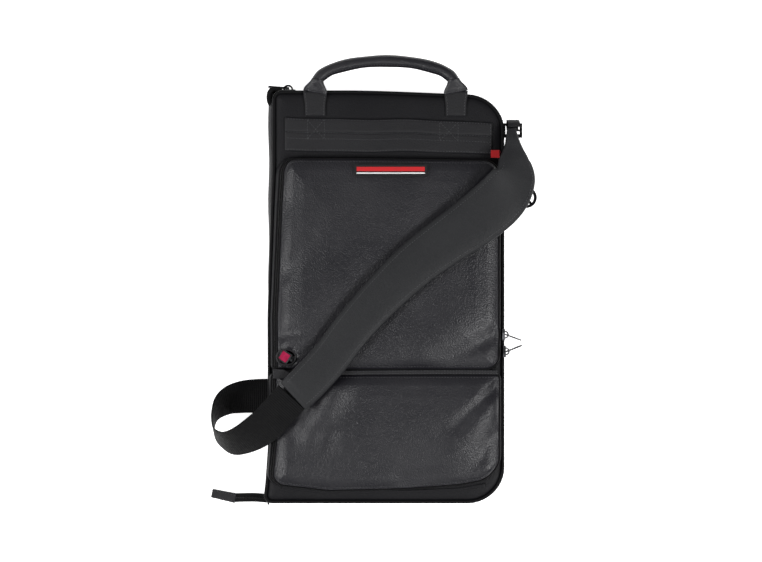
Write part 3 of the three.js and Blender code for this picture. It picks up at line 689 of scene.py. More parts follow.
# ---- lid pocket ----
# A flat pocket of the same nylon on the lid's lining, with an elastic hem at its mouth.
pocket_low, pocket_high = box("accessory_pocket")
lid_x, lid_y = np.meshgrid(
    np.linspace(pocket_low[0], pocket_high[0], 70), np.linspace(pocket_low[1], pocket_high[1], 90))
lid_edge = np.minimum.reduce([lid_x - pocket_low[0], pocket_high[0] - lid_x, lid_y - pocket_low[1]])
lid_swell = ease(lid_edge, 0, 0.012)
lid_z = pocket_high[2] - 0.0006 - (pocket_high[2] - pocket_low[2] - 0.001) * lid_swell
lid_z += 0.0004 * np.sin(lid_x * 60 + 3 * np.sin(lid_y * 25)) * lid_swell
lid_points = np.stack([lid_x, lid_y, lid_z], -1)
lid_pocket = skin("lid_pocket_cloth", lid_points, wrap=False)
wall_of(lid_pocket, LINING_THICKNESS, -1)
place(lid_pocket, LINING, "lining", "front_cover", "accessory_pocket")
lid_hem = swept("lid_pocket_hem", lid_points[-1], HEADWARDS, 0.006, 0.0008)
place(lid_hem, WEBBING, "webbing", "front_cover")

# ---- thread ----
# Bonded nylon thread, lockstitched at about eight stitches to the inch. Each stitch is a short
# rounded bar that lies a little into the leather.
THREAD = finish_of(
    "thread", PEBBLE_GRAIN, {"Cells": 2500.0},
    ((0.040, 0.040, 0.044), (0.070, 0.070, 0.075)), (0.45, 0.55), (0.2, 0.0001))


STITCH_PITCH = 0.0033


def stitches(name, path, body):
    """A row of stitches along a path, each two thirds of the pitch long."""
    points, along = even_steps(np.asarray(path, float), STITCH_PITCH)
    side = np.cross(UP, along)
    side /= np.linalg.norm(side, axis=1, keepdims=True)
    size = (STITCH_PITCH * 0.68, 0.0006, 0.0005)
    row = studs(name, points, (along, side, np.cross(along, side)), size)
    return place(row, THREAD, "webbing", body)


# ---- front pockets ----
# Two padded pockets, one above the other. Each has a face of leatherette over foam with a piped
# rim, and a wall of leatherette with a zip let into it, which flares down to the case's edge.
POCKET_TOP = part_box("upper_pocket_panel")[1][2]
POCKET_BASE = front_top + 0.0002
RIM = POCKET_TOP - 0.0036
UPPER = (-0.1235, 0.1262, -0.0795, 0.1600, (0.016, 0.017, 0.016, 0.004))
LOWER = (-0.1255, 0.1268, -0.2185, -0.0862, (0.004, 0.005, 0.026, 0.013))
CREASES = {  # from x, y, to x, y where it fades, half width, depth; a negative depth is a swell
    "upper": [
        (0.122, -0.040, 0.062, -0.070, 0.010, 0.0042), (-0.118, 0.110, -0.050, 0.150, 0.020, 0.0024),
        (-0.104, -0.020, -0.050, 0.050, 0.024, -0.0022), (-0.122, -0.0405, -0.092, -0.034, 0.006, 0.0026),
        (-0.121, -0.0520, -0.100, -0.0475, 0.005, -0.0022), (-0.118, 0.030, -0.090, 0.070, 0.010, 0.0024),
        (0.040, -0.056, 0.100, -0.010, 0.026, -0.0034), (0.060, 0.120, 0.110, 0.040, 0.026, 0.0022),
    ],
    "lower": [
        (0.124, -0.100, 0.078, -0.146, 0.0085, 0.0058), (0.112, -0.122, 0.070, -0.190, 0.020, -0.0046),
        (0.120, -0.160, 0.096, -0.206, 0.010, 0.0026), (-0.058, -0.104, -0.082, -0.152, 0.015, -0.0046),
        (-0.118, -0.130, -0.094, -0.196, 0.012, 0.0034), (-0.084, -0.118, -0.100, -0.160, 0.008, 0.0030),
        (-0.070, -0.160, -0.088, -0.206, 0.014, 0.0026), (0.020, -0.210, 0.112, -0.192, 0.010, 0.0024),
    ],
}
SAG_AT = (-0.126, -0.118, -0.068, 0.020, 0.080, 0.115, 0.127)
SAG_BY = (0.0030, 0.0020, -0.0046, -0.0024, 0.0022, 0.0085, 0.0110)


def sagged(points):
    """The case's lean, and the lower pocket's foot, which hangs lowest at its left third."""
    moved = np.array(points, float)
    moved[..., 1] += np.interp(moved[..., 0], SAG_AT, SAG_BY) * ease(-moved[..., 1], 0.15, 0.215)
    return settled(moved)


def creased(x, y, creases):
    """The depth of soft folds: each is a Gaussian valley round a line, fading at its far end."""
    depth = np.zeros_like(x)
    for x0, y0, x1, y1, width, deep in creases:
        length = math.hypot(x1 - x0, y1 - y0)
        ux, uy = (x1 - x0) / length, (y1 - y0) / length
        along = np.clip(((x - x0) * ux + (y - y0) * uy) / length, 0, 1)
        away = np.hypot(x - x0 - along * ux * length, y - y0 - along * uy * length)
        depth += deep * (1 - 0.75 * along) * np.exp(-((away / width) ** 2))
    return depth


def pillow(rect, creases):
    """Raises a pocket's face into a low crown, less its folds. From the rim the crown grows as the
    square root of the distance inwards, then slowly, and a slow ripple crosses it."""
    def relief(points):
        moved = np.array(points, float)
        x, y, z = moved[..., 0], moved[..., 1], moved[..., 2]
        inside = np.minimum.reduce([x - rect[0], rect[1] - x, y - rect[2], rect[3] - y])
        face = ease(z, RIM - 0.0030, RIM + 0.0001)
        crown = 0.0040 * np.sqrt(np.clip(inside / 0.026, 0, 1)) * ease(inside, -0.001, 0.012)
        ripple = 0.0008 * np.sin(x * 31 + 1.3 * np.sin(y * 23)) * ease(inside, 0.01, 0.05)
        crown += 0.0014 * ease(inside, 0.012, 0.060) + ripple
        moved[..., 2] += face * (crown - creased(x, y, creases) * ease(inside, -0.004, 0.004))
        return moved
    return relief


def pocket(name, rect, hang):
    """A pocket's face with its piping and stitches, then its wall, zip tape and coil. `hang` is
    how its points settle."""
    crown = pillow(rect, CREASES[name])
    face_edge = [(-0.012, RIM), (-0.007, RIM - 0.0002), (-0.0035, RIM - 0.0007), (-0.0015, RIM - 0.0014),
                 (-0.0003, RIM - 0.0024), (-0.0001, RIM - 0.0036), (-0.0010, RIM - 0.0052)]
    face = tray(f"{name}_pocket_face", rect, face_edge, crown, rings=56, hang=hang)
    wall_of(face, 0.0022, 1)
    place(face, LEATHER, "leatherette", "front_cover", f"{name}_pocket_panel")
    cord = hang(at_height(rounded(rect, 0.0006), RIM - 0.0034))
    place(loop_cord(f"{name}_pocket_piping", cord, 0.0011), PIPING, "piped_edge", "front_cover")
    seam = rounded(rect, -0.0030)
    seam = crown(at_height(np.vstack([seam, seam[:1]]), RIM)) + [0, 0, 0.00005]
    stitches(f"{name}_pocket_stitches", hang(seam), "front_cover")

    def level(share, z, grow=0.0):
        """The wall's outline after `share` of its lean outwards, at one height. It leans least
        at the zip's side, where the sliders run."""
        spread = np.array(rect[:4]) + share * np.array([-0.0090, 0.0030, -0.0030, 0.0030])
        radii = tuple(r + 0.004 * share for r in rect[4])
        return at_height(rounded((*spread, radii), grow), z)

    tape_low, tape_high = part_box(f"{name}_pocket_zip_tape")
    coil_low, coil_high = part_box(f"{name}_pocket_zip_coil")
    wall = skin(f"{name}_pocket_wall", hang(np.array([
        level(1.0, POCKET_BASE), level(0.92, POCKET_BASE + 0.0016, 0.0003),
        level(0.72, tape_low[2] - 0.0012, 0.0004), level(0.68, tape_low[2], 0.0001),
    ])))
    faces_out(wall)
    wall_of(wall, 0.0014)
    place(wall, SHELL_LEATHER, "leatherette", "front_cover", f"{name}_pocket_gusset")
    tape = skin(f"{name}_pocket_tape", hang(np.array([
        level(0.66, tape_low[2] - 0.0004, -0.0004), level(0.42, tape_high[2] + 0.0006, -0.0004),
        level(0.22, coil_high[2] + 0.0006, -0.0004), level(0.10, RIM - 0.0036, -0.0006),
    ])))
    faces_out(tape)
    wall_of(tape, 0.0008)
    place(tape, ZIP_TAPE, "zip_tape", "front_cover", f"{name}_pocket_zip_tape")
    ring = level(0.34, (coil_low[2] + coil_high[2]) / 2, 0.0002)
    closed = hang(np.vstack([ring, ring[:1]]))
    coil = coil_row(f"{name}_pocket_coil", closed, 0.0016, (0.0024, 0.0012, 0.0014))
    place(coil, COIL, "zip_coil", "front_cover", f"{name}_pocket_zip_coil")
    return face


def faces_out(piece):
    """Turns a wall's faces away from its own middle."""
    middle = np.mean([v.co for v in piece.data.vertices], axis=0)
    face = piece.data.polygons[0]
    if np.dot(np.array(face.normal), np.array(face.center) - middle) < 0:
        piece.data.flip_normals()


upper_face = pocket("upper", UPPER, settled)
lower_face = pocket("lower", LOWER, sagged)
foot_x = np.linspace(-0.117, 0.112, 90)
foot_y = LOWER[2] - 0.0042 - 0.0030 * ease(foot_x, -0.02, 0.10)
foot_path = at_height(np.column_stack([foot_x, foot_y]), front_top + 0.0004)
foot_pleat = swept("foot_pleat", sagged(foot_path), HEADWARDS, 0.0017, 0.0011)
place(foot_pleat, SHELL_LEATHER, "leatherette", "front_cover")

# ---- garage ----
# An oval opening in the upper pocket's face, bound with leatherette. The badge on the hidden
# zip's pull lies in it, above the zip's tape. A pointed leather tab is stitched below it.
GARAGE = (-0.1135, -0.0655, 0.0105, 0.0090)
oval_angle = np.linspace(0, 2 * np.pi, 64, endpoint=False)
oval = np.column_stack([
    GARAGE[0] + GARAGE[2] * np.cos(oval_angle), GARAGE[1] + GARAGE[3] * np.sin(oval_angle)])


def open_oval(piece, centre, radii):
    """Takes out the faces inside an oval and moves the hole's edge on to it: a point's distance
    is the root of (x/a)^2 + (y/b)^2, and an edge vertex is scaled about the centre until it is 1."""
    work = bmesh.new()
    work.from_mesh(piece.data)
    scale = np.array(radii)

    def reach(point):
        return np.linalg.norm((np.array(point)[:2] - centre) / scale)

    inside = [face for face in work.faces if reach(face.calc_center_median()) < 1]
    bmesh.ops.delete(work, geom=inside, context="FACES")
    for vertex in work.verts:
        if vertex.is_boundary and reach(vertex.co) < 2:
            vertex.co.x, vertex.co.y = centre + (np.array(vertex.co)[:2] - centre) / reach(vertex.co)
    work.to_mesh(piece.data)
    work.free()


garage_centre = settled(np.array([[GARAGE[0], GARAGE[1], 0.0]]))[0, :2]
open_oval(upper_face, garage_centre, GARAGE[2:])
binding = loop_cord("garage_binding", settled(at_height(oval, RIM + 0.0026)), 0.0012)
place(binding, DARK_LEATHER, "leatherette_dark", "front_cover")
hidden_low, hidden_high = box("hidden_zip_tape")
hidden_x = np.linspace(hidden_low[0], hidden_high[0], 60)
hidden_y = np.full(60, (hidden_low[1] + hidden_high[1]) / 2)
hidden_path = at_height(np.column_stack([hidden_x, hidden_y]), hidden_low[2] + 0.0007)
hidden = swept("hidden_zip_weave", hidden_path, HEADWARDS, 0.010, TAPE_HALF_THICK)
place(hidden, ZIP_TAPE, "zip_tape", "front_cover", "hidden_zip_tape")

tab_shape = np.array([
    [-0.1300, -0.0785], [-0.1180, -0.0792], [-0.1095, -0.0838], [-0.1145, -0.0895], [-0.1300, -0.0895]])


def flat_patch(name, corners, low, thickness, bevel=0.0006):
    """A flat cut piece: its outline at two heights, with a bevelled upper edge."""
    middle = corners.mean(0)
    inwards = middle - corners
    inner = corners + inwards / np.linalg.norm(inwards, axis=1, keepdims=True) * bevel
    levels = ((inner, 0), (corners, 0.2), (corners, 0.6), (inner, 1))
    rings = np.array([at_height(outline, low + share * thickness) for outline, share in levels])
    piece = turned_out(skin(name, rings, start=(*middle, low), end=(*middle, low + thickness)))
    piece.data.polygons.foreach_set("use_smooth", np.zeros(len(piece.data.polygons), bool))
    return piece


tab = flat_patch("garage_tab_leather", tab_shape, POCKET_TOP + 0.0004, 0.0014)
place(tab, DARK_LEATHER, "leatherette_dark", "front_cover", "garage_tab")

# ---- binding between the pockets ----
# A folded strip over the seam where the two pockets meet, stitched along both of its edges.
bind_x = np.linspace(UPPER[0] + 0.002, UPPER[1] - 0.001, 120)
bind_y = (UPPER[2] + LOWER[3]) / 2 + 0.0004 * np.sin(bind_x * 24)
bind_path = np.column_stack([bind_x, bind_y, RIM - 0.0036 + 0.0004 * np.sin(bind_x * 50)])
BINDING_HALF = 0.0027
bind = swept("pocket_binding_strip", bind_path, HEADWARDS, BINDING_HALF, 0.0022)
place(bind, DARK_LEATHER, "leatherette_dark", "front_cover", "pocket_binding")
for side, shift in (("upper", 0.0014), ("lower", -0.0014)):
    stitches(f"binding_stitches_{side}", bind_path + [0, shift, 0.0021], "front_cover")

# ---- stitched band ----
# Two strips of darker leatherette, the upper lapped over the lower, across the head of the front.
# They are sewn down along their edges and their end, with a crossed box of stitches under each
# end of the handle.
band_low, band_high = box("yoke_band")
band_top = front_top + 0.0016
band_rect = (band_low[0], band_high[0] + 0.003, band_low[1] - 0.004, band_high[1] - 0.001, (0.002,) * 4)
x_left, x_right, y_low, y_high = band_rect[:4]
LAP = y_high - 0.0172
LAP_RISE = 0.0008
band_profile = [(-0.0040, band_top), (-0.0020, band_top - 0.0001), (-0.0008, band_top - 0.0005),
                (-0.0001, front_top + 0.0004)]


def lapped(points):
    """A low ripple along a strip, so that its folded edge isn't dead straight."""
    moved = np.array(points, float)
    moved[..., 1] += 0.0008 * np.sin(moved[..., 0] * 38) + 0.0004 * np.sin(moved[..., 0] * 83)
    return settled(moved)


for strip, low_y, high_y, lift in (("lower", y_low, LAP + 0.002, 0.0), ("upper", LAP, y_high, LAP_RISE)):
    strip_rect = (x_left, x_right, low_y, high_y, band_rect[4])
    raised = [(grow, z + lift) for grow, z in band_profile]
    band = tray(f"stitched_band_{strip}", strip_rect, raised, rings=12, hang=lapped)
    wall_of(band, 0.0005, 1)
    place(band, DARK_LEATHER, "leatherette_dark", "front_cover", "yoke_band")


def seam_line(name, start, end, samples=30):
    """A row of stitches on the band, between two points of (x, y). It follows the band's ripple
    and rises where the upper strip laps over the lower."""
    line = np.linspace(start, end, samples)
    path = lapped(np.column_stack([line, band_top + 0.0001 + LAP_RISE * (line[:, 1] > LAP)]))
    return stitches(name, path, "front_cover")


for number, y in enumerate((y_low + 0.0022, y_low + 0.0150, y_high - 0.0170, y_high - 0.0022)):
    seam_line(f"band_seam_{number}", (x_left + 0.003, y), (x_right - 0.003, y))
seam_line("band_seam_end", (x_right - 0.0024, y_low + 0.003), (x_right - 0.0024, y_high - 0.003))
CROSS = 0.0105
for side, middle in (("left", -0.083), ("right", 0.070)):
    low_y, high_y = y_low + 0.0150, y_high - 0.0022
    corners = [(middle - CROSS, low_y), (middle + CROSS, low_y),
               (middle + CROSS, high_y), (middle - CROSS, high_y)]
    for number, (a, b) in enumerate([(0, 2), (1, 3), (1, 2), (3, 0)]):
        seam_line(f"cross_stitches_{side}_{number}", corners[a], corners[b], samples=8)

# ---- labels ----
# A woven label on the upper pocket, with one red stripe over a thin white one and no letters, and
# a small folded red tab caught in the seam at its right.
RED_WOVEN = finish_of(
    "red_woven", RIB_WEAVE, {"Ribs": 1400.0, "Twill": 1400.0},
    ((0.42, 0.008, 0.012), (0.56, 0.014, 0.018)), (0.7, 0.85), (0.4, 0.0001), sheen=0.2)
WHITE_WOVEN = finish_of(
    "white_woven", RIB_WEAVE, {"Ribs": 1400.0, "Twill": 1400.0},
    ((0.72, 0.72, 0.72), (0.85, 0.85, 0.85)), (0.7, 0.85), (0.4, 0.0001), sheen=0.2)
LABEL_GROUND = finish_of(
    "label_ground", RIB_WEAVE, {"Ribs": 1400.0, "Twill": 1400.0},
    ((0.006, 0.006, 0.007), (0.010, 0.010, 0.011)), (0.7, 0.85), (0.4, 0.0001))
label_low, label_high = box("woven_label")


def rectangle(x0, x1, y0, y1, count=6):
    """Points round a plain rectangle, `count` to a side, so that a patch can follow a surface."""
    share = np.linspace(0, 1, count, endpoint=False)
    corners = np.array([[x0, y0], [x1, y0], [x1, y1], [x0, y1]])
    return np.vstack([a + share[:, None] * (b - a) for a, b in zip(corners, np.roll(corners, -1, 0))])


label_z = RIM + 0.0056
ground_shape = rectangle(label_low[0], label_high[0], label_low[1] - 0.002, label_high[1] - 0.004)
ground = flat_patch("woven_label_ground", ground_shape, label_z, 0.0006, 0.0003)
place(ground, LABEL_GROUND, "label", "front_cover", "woven_label")
label_middle = (label_low[1] + label_high[1]) / 2 - 0.003
STRIPES = (("red", RED_WOVEN, -0.0012, 0.0038), ("white", WHITE_WOVEN, -0.0040, -0.0026))
for name, colour, low, high in STRIPES:
    shape = rectangle(label_low[0] + 0.003, label_high[0] - 0.003, label_middle + low, label_middle + high)
    stripe = flat_patch(f"label_stripe_{name}", shape, label_z + 0.0006, 0.0003, 0.0002)
    place(stripe, colour, "label", "front_cover")
red_low, red_high = box("red_tab")
red_shape = rectangle(red_low[0], red_high[0], red_low[1] - 0.006, red_high[1] - 0.004)
red = flat_patch("red_tab_fold", red_shape, band_top, 0.0015)
place(red, RED_WOVEN, "red_trim", "front_cover", "red_tab")

# ---- carrying handle ----
# A foam cord rolled in leatherette, with a seam along its underside. Each end is pinched flat,
# folded and sewn to the head of the front shell.
GRIP_MIDDLE, GRIP_BASE, GRIP_Z = -0.0025, 0.238, 0.065
GRIP_REACH = 0.0805
GRIP_RADIUS = 0.0068
RISES = [(1.0, 0.0100), (0.99, 0.0140), (0.92, 0.0195), (0.76, 0.0258), (0.42, 0.0322), (0.0, 0.0345)]
both_sides = [(-u, y) for u, y in RISES] + RISES[-2::-1]
arch = smooth_path(
    [(GRIP_MIDDLE + u * (GRIP_REACH - 0.003), GRIP_BASE + y, GRIP_Z) for u, y in both_sides], 12)
circle_angle = np.linspace(0, 2 * np.pi, 24, endpoint=False)
circle = (np.cos(circle_angle), np.sin(circle_angle))
along_arch = np.linspace(0, 1, len(arch))
uneven = 1 + 0.04 * np.sin(along_arch * 40) * np.sin(np.pi * along_arch)
tapered = 0.88 + 0.12 * ease(np.minimum(along_arch, 1 - along_arch), 0, 0.08)
swelling = GRIP_RADIUS * uneven * tapered
grip = swept("handle_grip", arch, UP, swelling, swelling, circle)
place(grip, LEATHER, "leatherette", "handle", "handle_cover")
core = swept("handle_foam", arch[2:-2], UP, 0.0040, 0.0040, circle)
foam = finish_of(
    "closed_foam", PEBBLE_GRAIN, {"Cells": 600.0},
    ((0.12, 0.12, 0.125), (0.17, 0.17, 0.175)), (0.8, 0.95), (0.5, 0.0003))
place(core, foam, "foam", "handle", "handle_core")
_, grip_side, grip_up = directions(arch, UP)
underside = swelling[:, None] * 0.72
stitches("handle_seam", (arch - grip_up * underside + grip_side * underside)[6:-6], "handle")
for side, sign in (("left", -1), ("right", 1)):
    x = GRIP_MIDDLE + sign * GRIP_REACH
    heights = np.linspace(0, 1, 14)
    lean = -sign * 0.0030 * heights
    end_path = at_height(np.column_stack([x + lean, GRIP_BASE - 0.0015 + 0.0150 * heights]), GRIP_Z)
    flat_to_round = ease(heights, 0.1, 1.0)
    half_wide = 0.0138 * (1 - flat_to_round) + 0.0071 * flat_to_round
    half_deep = 0.0026 * (1 - flat_to_round) + 0.0071 * flat_to_round
    pinched = band_section(28, 0.7)
    end = swept(f"handle_end_{side}_fold", end_path, SIDEWAYS, half_wide, half_deep, pinched)
    place(end, LEATHER, "leatherette", "handle", f"handle_end_{side}")
    chape_low, chape_high = box(f"handle_chape_{side}")
    run = np.linspace(0, 1, 12)
    chape_y = chape_low[1] - 0.002 + run * (chape_high[1] - chape_low[1] + 0.004)
    chape_path = np.column_stack([np.full(12, x), chape_y, chape_low[2] + 0.0014 + 0.0008 * run])
    chape_half = 0.0118 + 0.0018 * ease(run, 0.35, 1.0)
    chape = swept(f"handle_chape_{side}_leather", chape_path, SIDEWAYS, chape_half, 0.0011)
    place(chape, DARK_LEATHER, "leatherette_dark", "front_cover", f"handle_chape_{side}")
    for edge, away in (("inner", -1), ("outer", 1)):
        line = chape_path + [0, 0, 0.0011]
        line[:, 0] += away * (chape_half - 0.0022)
        stitches(f"chape_stitches_{side}_{edge}", line, "front_cover")

# ---- zip tail ----
# The zip's tape hangs down the side wall at the foot of the spine, lies out over the table and
# ends in a folded leather tab.
tail_low, tail_high = box("zip_tail_tape")
tail_y = (tail_low[1] + tail_high[1]) / 2
lying_z = tail_low[2] + 0.0011
tail_path = smooth_path([
    (tail_high[0] - 0.0011, tail_y + 0.0010, tail_high[2] - 0.001),
    (tail_high[0] - 0.0012, tail_y + 0.0008, 0.022), (tail_high[0] - 0.0016, tail_y + 0.0004, 0.009),
    (tail_high[0] - 0.0060, tail_y, lying_z + 0.0006), (tail_high[0] - 0.020, tail_y + 0.0010, lying_z),
    (tail_low[0], tail_y + 0.0006, lying_z),
], 10)
tail = swept("zip_tail_weave", tail_path, HEADWARDS, 0.0052, 0.0009)
place(tail, ZIP_TAPE, "zip_tape", "root", "zip_tail_tape")
tail_up = directions(tail_path, HEADWARDS)[2]
points, along = even_steps(tail_path + tail_up * 0.0012, COIL_PITCH)
tail_axes = (np.cross(along, HEADWARDS), along, HEADWARDS)
tail_coil = studs("zip_tail_coil", points, tail_axes, (0.0014, 0.0013, 0.004))
place(tail_coil, COIL, "zip_coil", "root")
tail_tab_low, tail_tab_high = box("zip_tail_tab")
tab_x = np.linspace(tail_tab_high[0], tail_tab_low[0], 16)
tab_y = np.linspace(tail_y, tail_y + 0.0060, 16)
tab_path = at_height(np.column_stack([tab_x, tab_y]), (tail_tab_low[2] + tail_tab_high[2]) / 2)
tab_half = 0.0058 * (1 - 0.12 * np.linspace(0, 1, 16))
tab_thick = 0.0024
end_tab = swept("zip_tail_leather", tab_path, HEADWARDS, tab_half, tab_thick, band_section(24, 0.45))
place(end_tab, DARK_LEATHER, "leatherette_dark", "root", "zip_tail_tab")
for edge, sign in (("upper", 1), ("lower", -1)):
    stitches(f"tail_tab_stitches_{edge}", tab_path + [0, sign * 0.0038, tab_thick], "root")

# ---- shoulder pad ----
# A long wedge of foam in smooth leatherette, widest over the shoulder. It lies across the front
# and turns down over the right-hand edge, where it narrows to its hook.
PAD_Z = POCKET_TOP + 0.010
PAD = [  # x, y, z, width, then the direction across
    (-0.107, -0.109, 0, 0.042, 0.72, -0.69, 0), (-0.092, -0.095, 0, 0.044, 0.70, -0.71, 0),
    (-0.066, -0.067, 0, 0.044, 0.75, -0.66, 0), (-0.040, -0.033, 0, 0.045, 0.77, -0.64, 0),
    (-0.008, 0.003, 0, 0.048, 0.72, -0.69, 0), (0.029, 0.0385, 0, 0.052, 0.66, -0.75, 0),
    (0.064, 0.065, 0, 0.055, 0.60, -0.80, 0), (0.098, 0.089, 0.0005, 0.059, 0.62, -0.78, 0),
    (0.127, 0.114, 0.002, 0.060, 0.70, -0.70, -0.08), (0.1425, 0.138, -0.001, 0.053, 0.76, -0.58, -0.28),
    (0.1425, 0.158, -0.004, 0.036, 0.92, -0.30, -0.24), (0.1415, 0.175, -0.007, 0.019, 0.98, -0.10, -0.15),
    (0.1400, 0.194, -0.009, 0.010, 1, 0, 0),
]
pad_rows = smooth_path([(x, y, PAD_Z + z, w, a, b, c) for x, y, z, w, a, b, c in PAD], 14)
pad_centre, pad_width, pad_across = pad_rows[:, :3], pad_rows[:, 3], pad_rows[:, 4:]
pad_angle = np.linspace(0, 2 * np.pi, 44, endpoint=False)
pad_u = np.sign(np.cos(pad_angle)) * np.abs(np.cos(pad_angle)) ** 0.62
pad_height = np.abs(np.sin(pad_angle))
pad_v = np.where(np.sin(pad_angle) > 0, pad_height ** 0.75, -pad_height ** 0.45)
pad_share = np.linspace(0, 1, len(pad_centre))
end_fade = 0.35 + 0.65 * ease(np.minimum(pad_share, 1 - pad_share), 0, 0.05)
PAD_HALF = 0.0048
pad_half_thick = PAD_HALF * end_fade * (1 + 0.05 * np.sin(pad_share * 55) * ease(pad_share, 0.55, 0.8))
PAD_LIFT = 0.0013
PAD_WEAVE_DROP = 0.0015
pad = swept("shoulder_pad_foam", pad_centre, pad_across, pad_width / 2, pad_half_thick, (pad_u, pad_v),
            lift=PAD_LIFT)
place(pad, PAD_LEATHER, "leatherette", "front_cover", "shoulder_pad")
_, pad_side, pad_up = directions(pad_centre, pad_across)
for edge, sign in (("upper", -1), ("lower", 1)):
    inset = pad_width[:, None] / 2 - 0.0052
    line = pad_centre + sign * pad_side * inset + pad_up * (PAD_LIFT + pad_half_thick[:, None] * 0.80)
    stitches(f"pad_stitches_{edge}", line[4:-4], "front_cover")
backing = swept("pad_backing_weave", pad_centre, pad_across, pad_width / 2 - 0.004, 0.0009,
                lift=PAD_LIFT - PAD_HALF - PAD_WEAVE_DROP)
place(backing, WEBBING, "webbing", "front_cover", "pad_backing")

# ---- lower webbing ----
# The webbing leaves the pad's lower end, where three rows of stitches hold it, loops out past the
# spine and back to the side of the back shell, where it is sewn down.
LOOP = [  # x, y, z below the pad, then the direction across
    (-0.1085, -0.1098, -0.0006, 0.70, -0.72, 0), (-0.125, -0.128, -0.0006, 0.70, -0.72, 0),
    (-0.138, -0.1416, -0.0020, 0.70, -0.72, -0.05), (-0.160, -0.157, -0.009, 0.56, -0.72, -0.40),
    (-0.181, -0.164, -0.019, 0.20, -0.70, -0.70), (-0.196, -0.157, -0.031, 0.05, -0.50, -0.85),
    (-0.2015, -0.143, -0.042, 0, -0.55, -0.83), (-0.1985, -0.128, -0.052, 0, -0.68, -0.72),
    (-0.186, -0.118, -0.060, 0.10, -0.80, -0.55), (-0.170, -0.114, -0.065, 0.08, -0.90, -0.30),
    (-0.153, -0.113, -0.068, 0, -1, -0.10), (-0.1364, -0.113, -0.070, 0, -1, 0),
]
WEBBING_WIDTH = 0.040
WEBBING_HALF_THICK = 0.0009
loop_rows = smooth_path([(x, y, PAD_Z + z, a, b, c) for x, y, z, a, b, c in LOOP], 12)
loop_centre, loop_across = loop_rows[:, :3], loop_rows[:, 3:]
flat_band = band_section(28, 0.25)
loop = swept("lower_webbing_band", loop_centre, loop_across, WEBBING_WIDTH / 2, WEBBING_HALF_THICK,
             flat_band)
place(loop, WEBBING, "webbing", None, "strap_webbing_lower")
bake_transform(loop)
_, loop_side, loop_up = directions(loop_centre, loop_across)
for number in range(3):
    row = 6 + 3 * number
    middle = loop_centre[row] + loop_up[row] * 0.0010
    line = middle + loop_side[row] * np.linspace(-0.018, 0.018, 8)[:, None]
    stitches(f"webbing_stitches_{number}", line, "front_cover")
anchor_low, anchor_high = box("strap_anchor")
anchor_y = np.linspace(anchor_low[1], anchor_high[1], 20)
anchor_x, _, anchor_z = (anchor_low + anchor_high) / 2
anchor_path = at_height(np.column_stack([np.full(20, anchor_x), anchor_y]), anchor_z)
anchor = swept("strap_anchor_leather", anchor_path, UP, 0.0075, 0.0008)
place(anchor, DARK_LEATHER, "leatherette_dark", "root", "strap_anchor")

# ---- upper strap end ----
# A loop of webbing on the front shell's side wall holds a ring. The strap's hook snaps on to it,
# and a narrow leather tab joins the hook's swivel to the pad.
ring_low, ring_high = box("upper_ring_tab")
ring_z = (ring_low[2] + ring_high[2]) / 2
ring_x = ring_low[0] + 0.0009
TURN_X, TURN_Y, TURN_RADIUS = 0.1435, 0.150, 0.0033
ring_path = [(ring_x, 0.119, ring_z), (ring_x, 0.134, ring_z), (ring_low[0] + 0.0012, 0.1432, ring_z)]
for turn in np.linspace(-np.pi * 0.62, np.pi * 0.95, 26):
    ring_path.append((TURN_X + TURN_RADIUS * math.cos(turn), TURN_Y + TURN_RADIUS * math.sin(turn), ring_z))
ring_path = smooth_path(ring_path, 3)
ring_tab = swept("ring_loop_webbing", ring_path, UP, 0.0045, 0.0006)
place(ring_tab, WEBBING, "webbing", "front_cover", "upper_ring_tab")
TAB = [
    (0.145, 0.1976, 0.0615), (0.1445, 0.2026, 0.0585), (0.1435, 0.2056, 0.054),
    (0.1435, 0.2042, 0.0494), (0.1435, 0.2009, 0.0476), (0.1435, 0.197, 0.0486),
    (0.1435, 0.195, 0.053), (0.1445, 0.1936, 0.0576), (0.145, 0.1932, 0.0615),
]
tab_rows = smooth_path(TAB, 8)
strap_tab = swept("upper_strap_leather", tab_rows, SIDEWAYS, 0.0070, 0.0009)
place(strap_tab, DARK_LEATHER, "leatherette_dark", "front_cover", "upper_strap_tab")

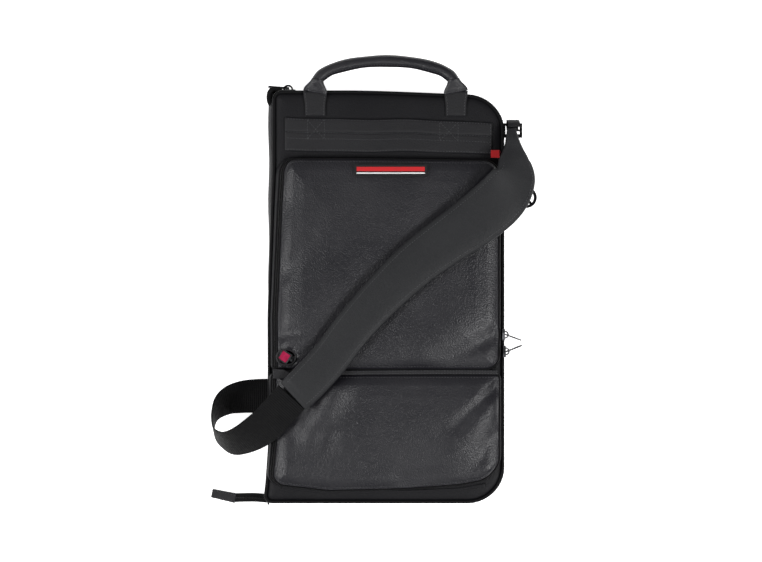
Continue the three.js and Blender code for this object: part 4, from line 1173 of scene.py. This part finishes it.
# ---- metal ----
# Sliders and pulls are die-cast zinc with a dark nickel plate. The ring, hook and adjuster are
# black nickel. Handling has rubbed both a little brighter in places.


def brushed_wear():
    """Height is a fine noise. Tone is a coarser one, for rubbed and dull areas."""
    tree, given, out = shader_group("plated_wear", [("Scale", 300.0)])
    place_in = tree.nodes.new("ShaderNodeTexCoord").outputs["Object"]
    fine = maths(tree, "MULTIPLY", given.outputs["Scale"], 8.0)
    tree.links.new(noise(tree, place_in, fine), out.inputs["Height"])
    tree.links.new(noise(tree, place_in, given.outputs["Scale"], 6), out.inputs["Tone"])
    return tree


PLATED_WEAR = brushed_wear()
GUNMETAL = finish_of(
    "dark_nickel", PLATED_WEAR, {"Scale": 300.0},
    ((0.035, 0.036, 0.040), (0.17, 0.172, 0.18)), (0.24, 0.42), (0.15, 0.00005), metallic=1.0)
BLACK_METAL = finish_of(
    "black_nickel", PLATED_WEAR, {"Scale": 260.0},
    ((0.006, 0.006, 0.007), (0.022, 0.022, 0.024)), (0.24, 0.38), (0.15, 0.00005), metallic=0.9)
ENAMEL = finish_of(
    "badge_enamel", PLATED_WEAR, {"Scale": 200.0},
    ((0.26, 0.006, 0.040), (0.40, 0.016, 0.070)), (0.2, 0.34), (0.1, 0.00004))
BOARD = finish_of(
    "stiffener_sheet", PEBBLE_GRAIN, {"Cells": 300.0},
    ((0.10, 0.10, 0.10), (0.14, 0.14, 0.14)), (0.5, 0.65), (0.2, 0.0001))


def dress(material, *nodes):
    """Gives CAD nodes, whose shape is already right, their finish."""
    for name in nodes:
        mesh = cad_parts[name].data
        mesh.materials.clear()
        mesh.materials.append(material)


dress(GUNMETAL, "upper_pocket_slider", "upper_pocket_pull",
      "lower_pocket_slider", "lower_pocket_pull", "garage_slider", "badge_frame", "badge_arm")
dress(BLACK_METAL, "main_zip_slider", "main_zip_pull", "upper_d_ring",
      "snap_hook", "snap_hook_gate", "swivel_eye", "strap_adjuster")
dress(ENAMEL, "badge_inlay")
dress(BOARD, "back_stiffener", "front_stiffener")
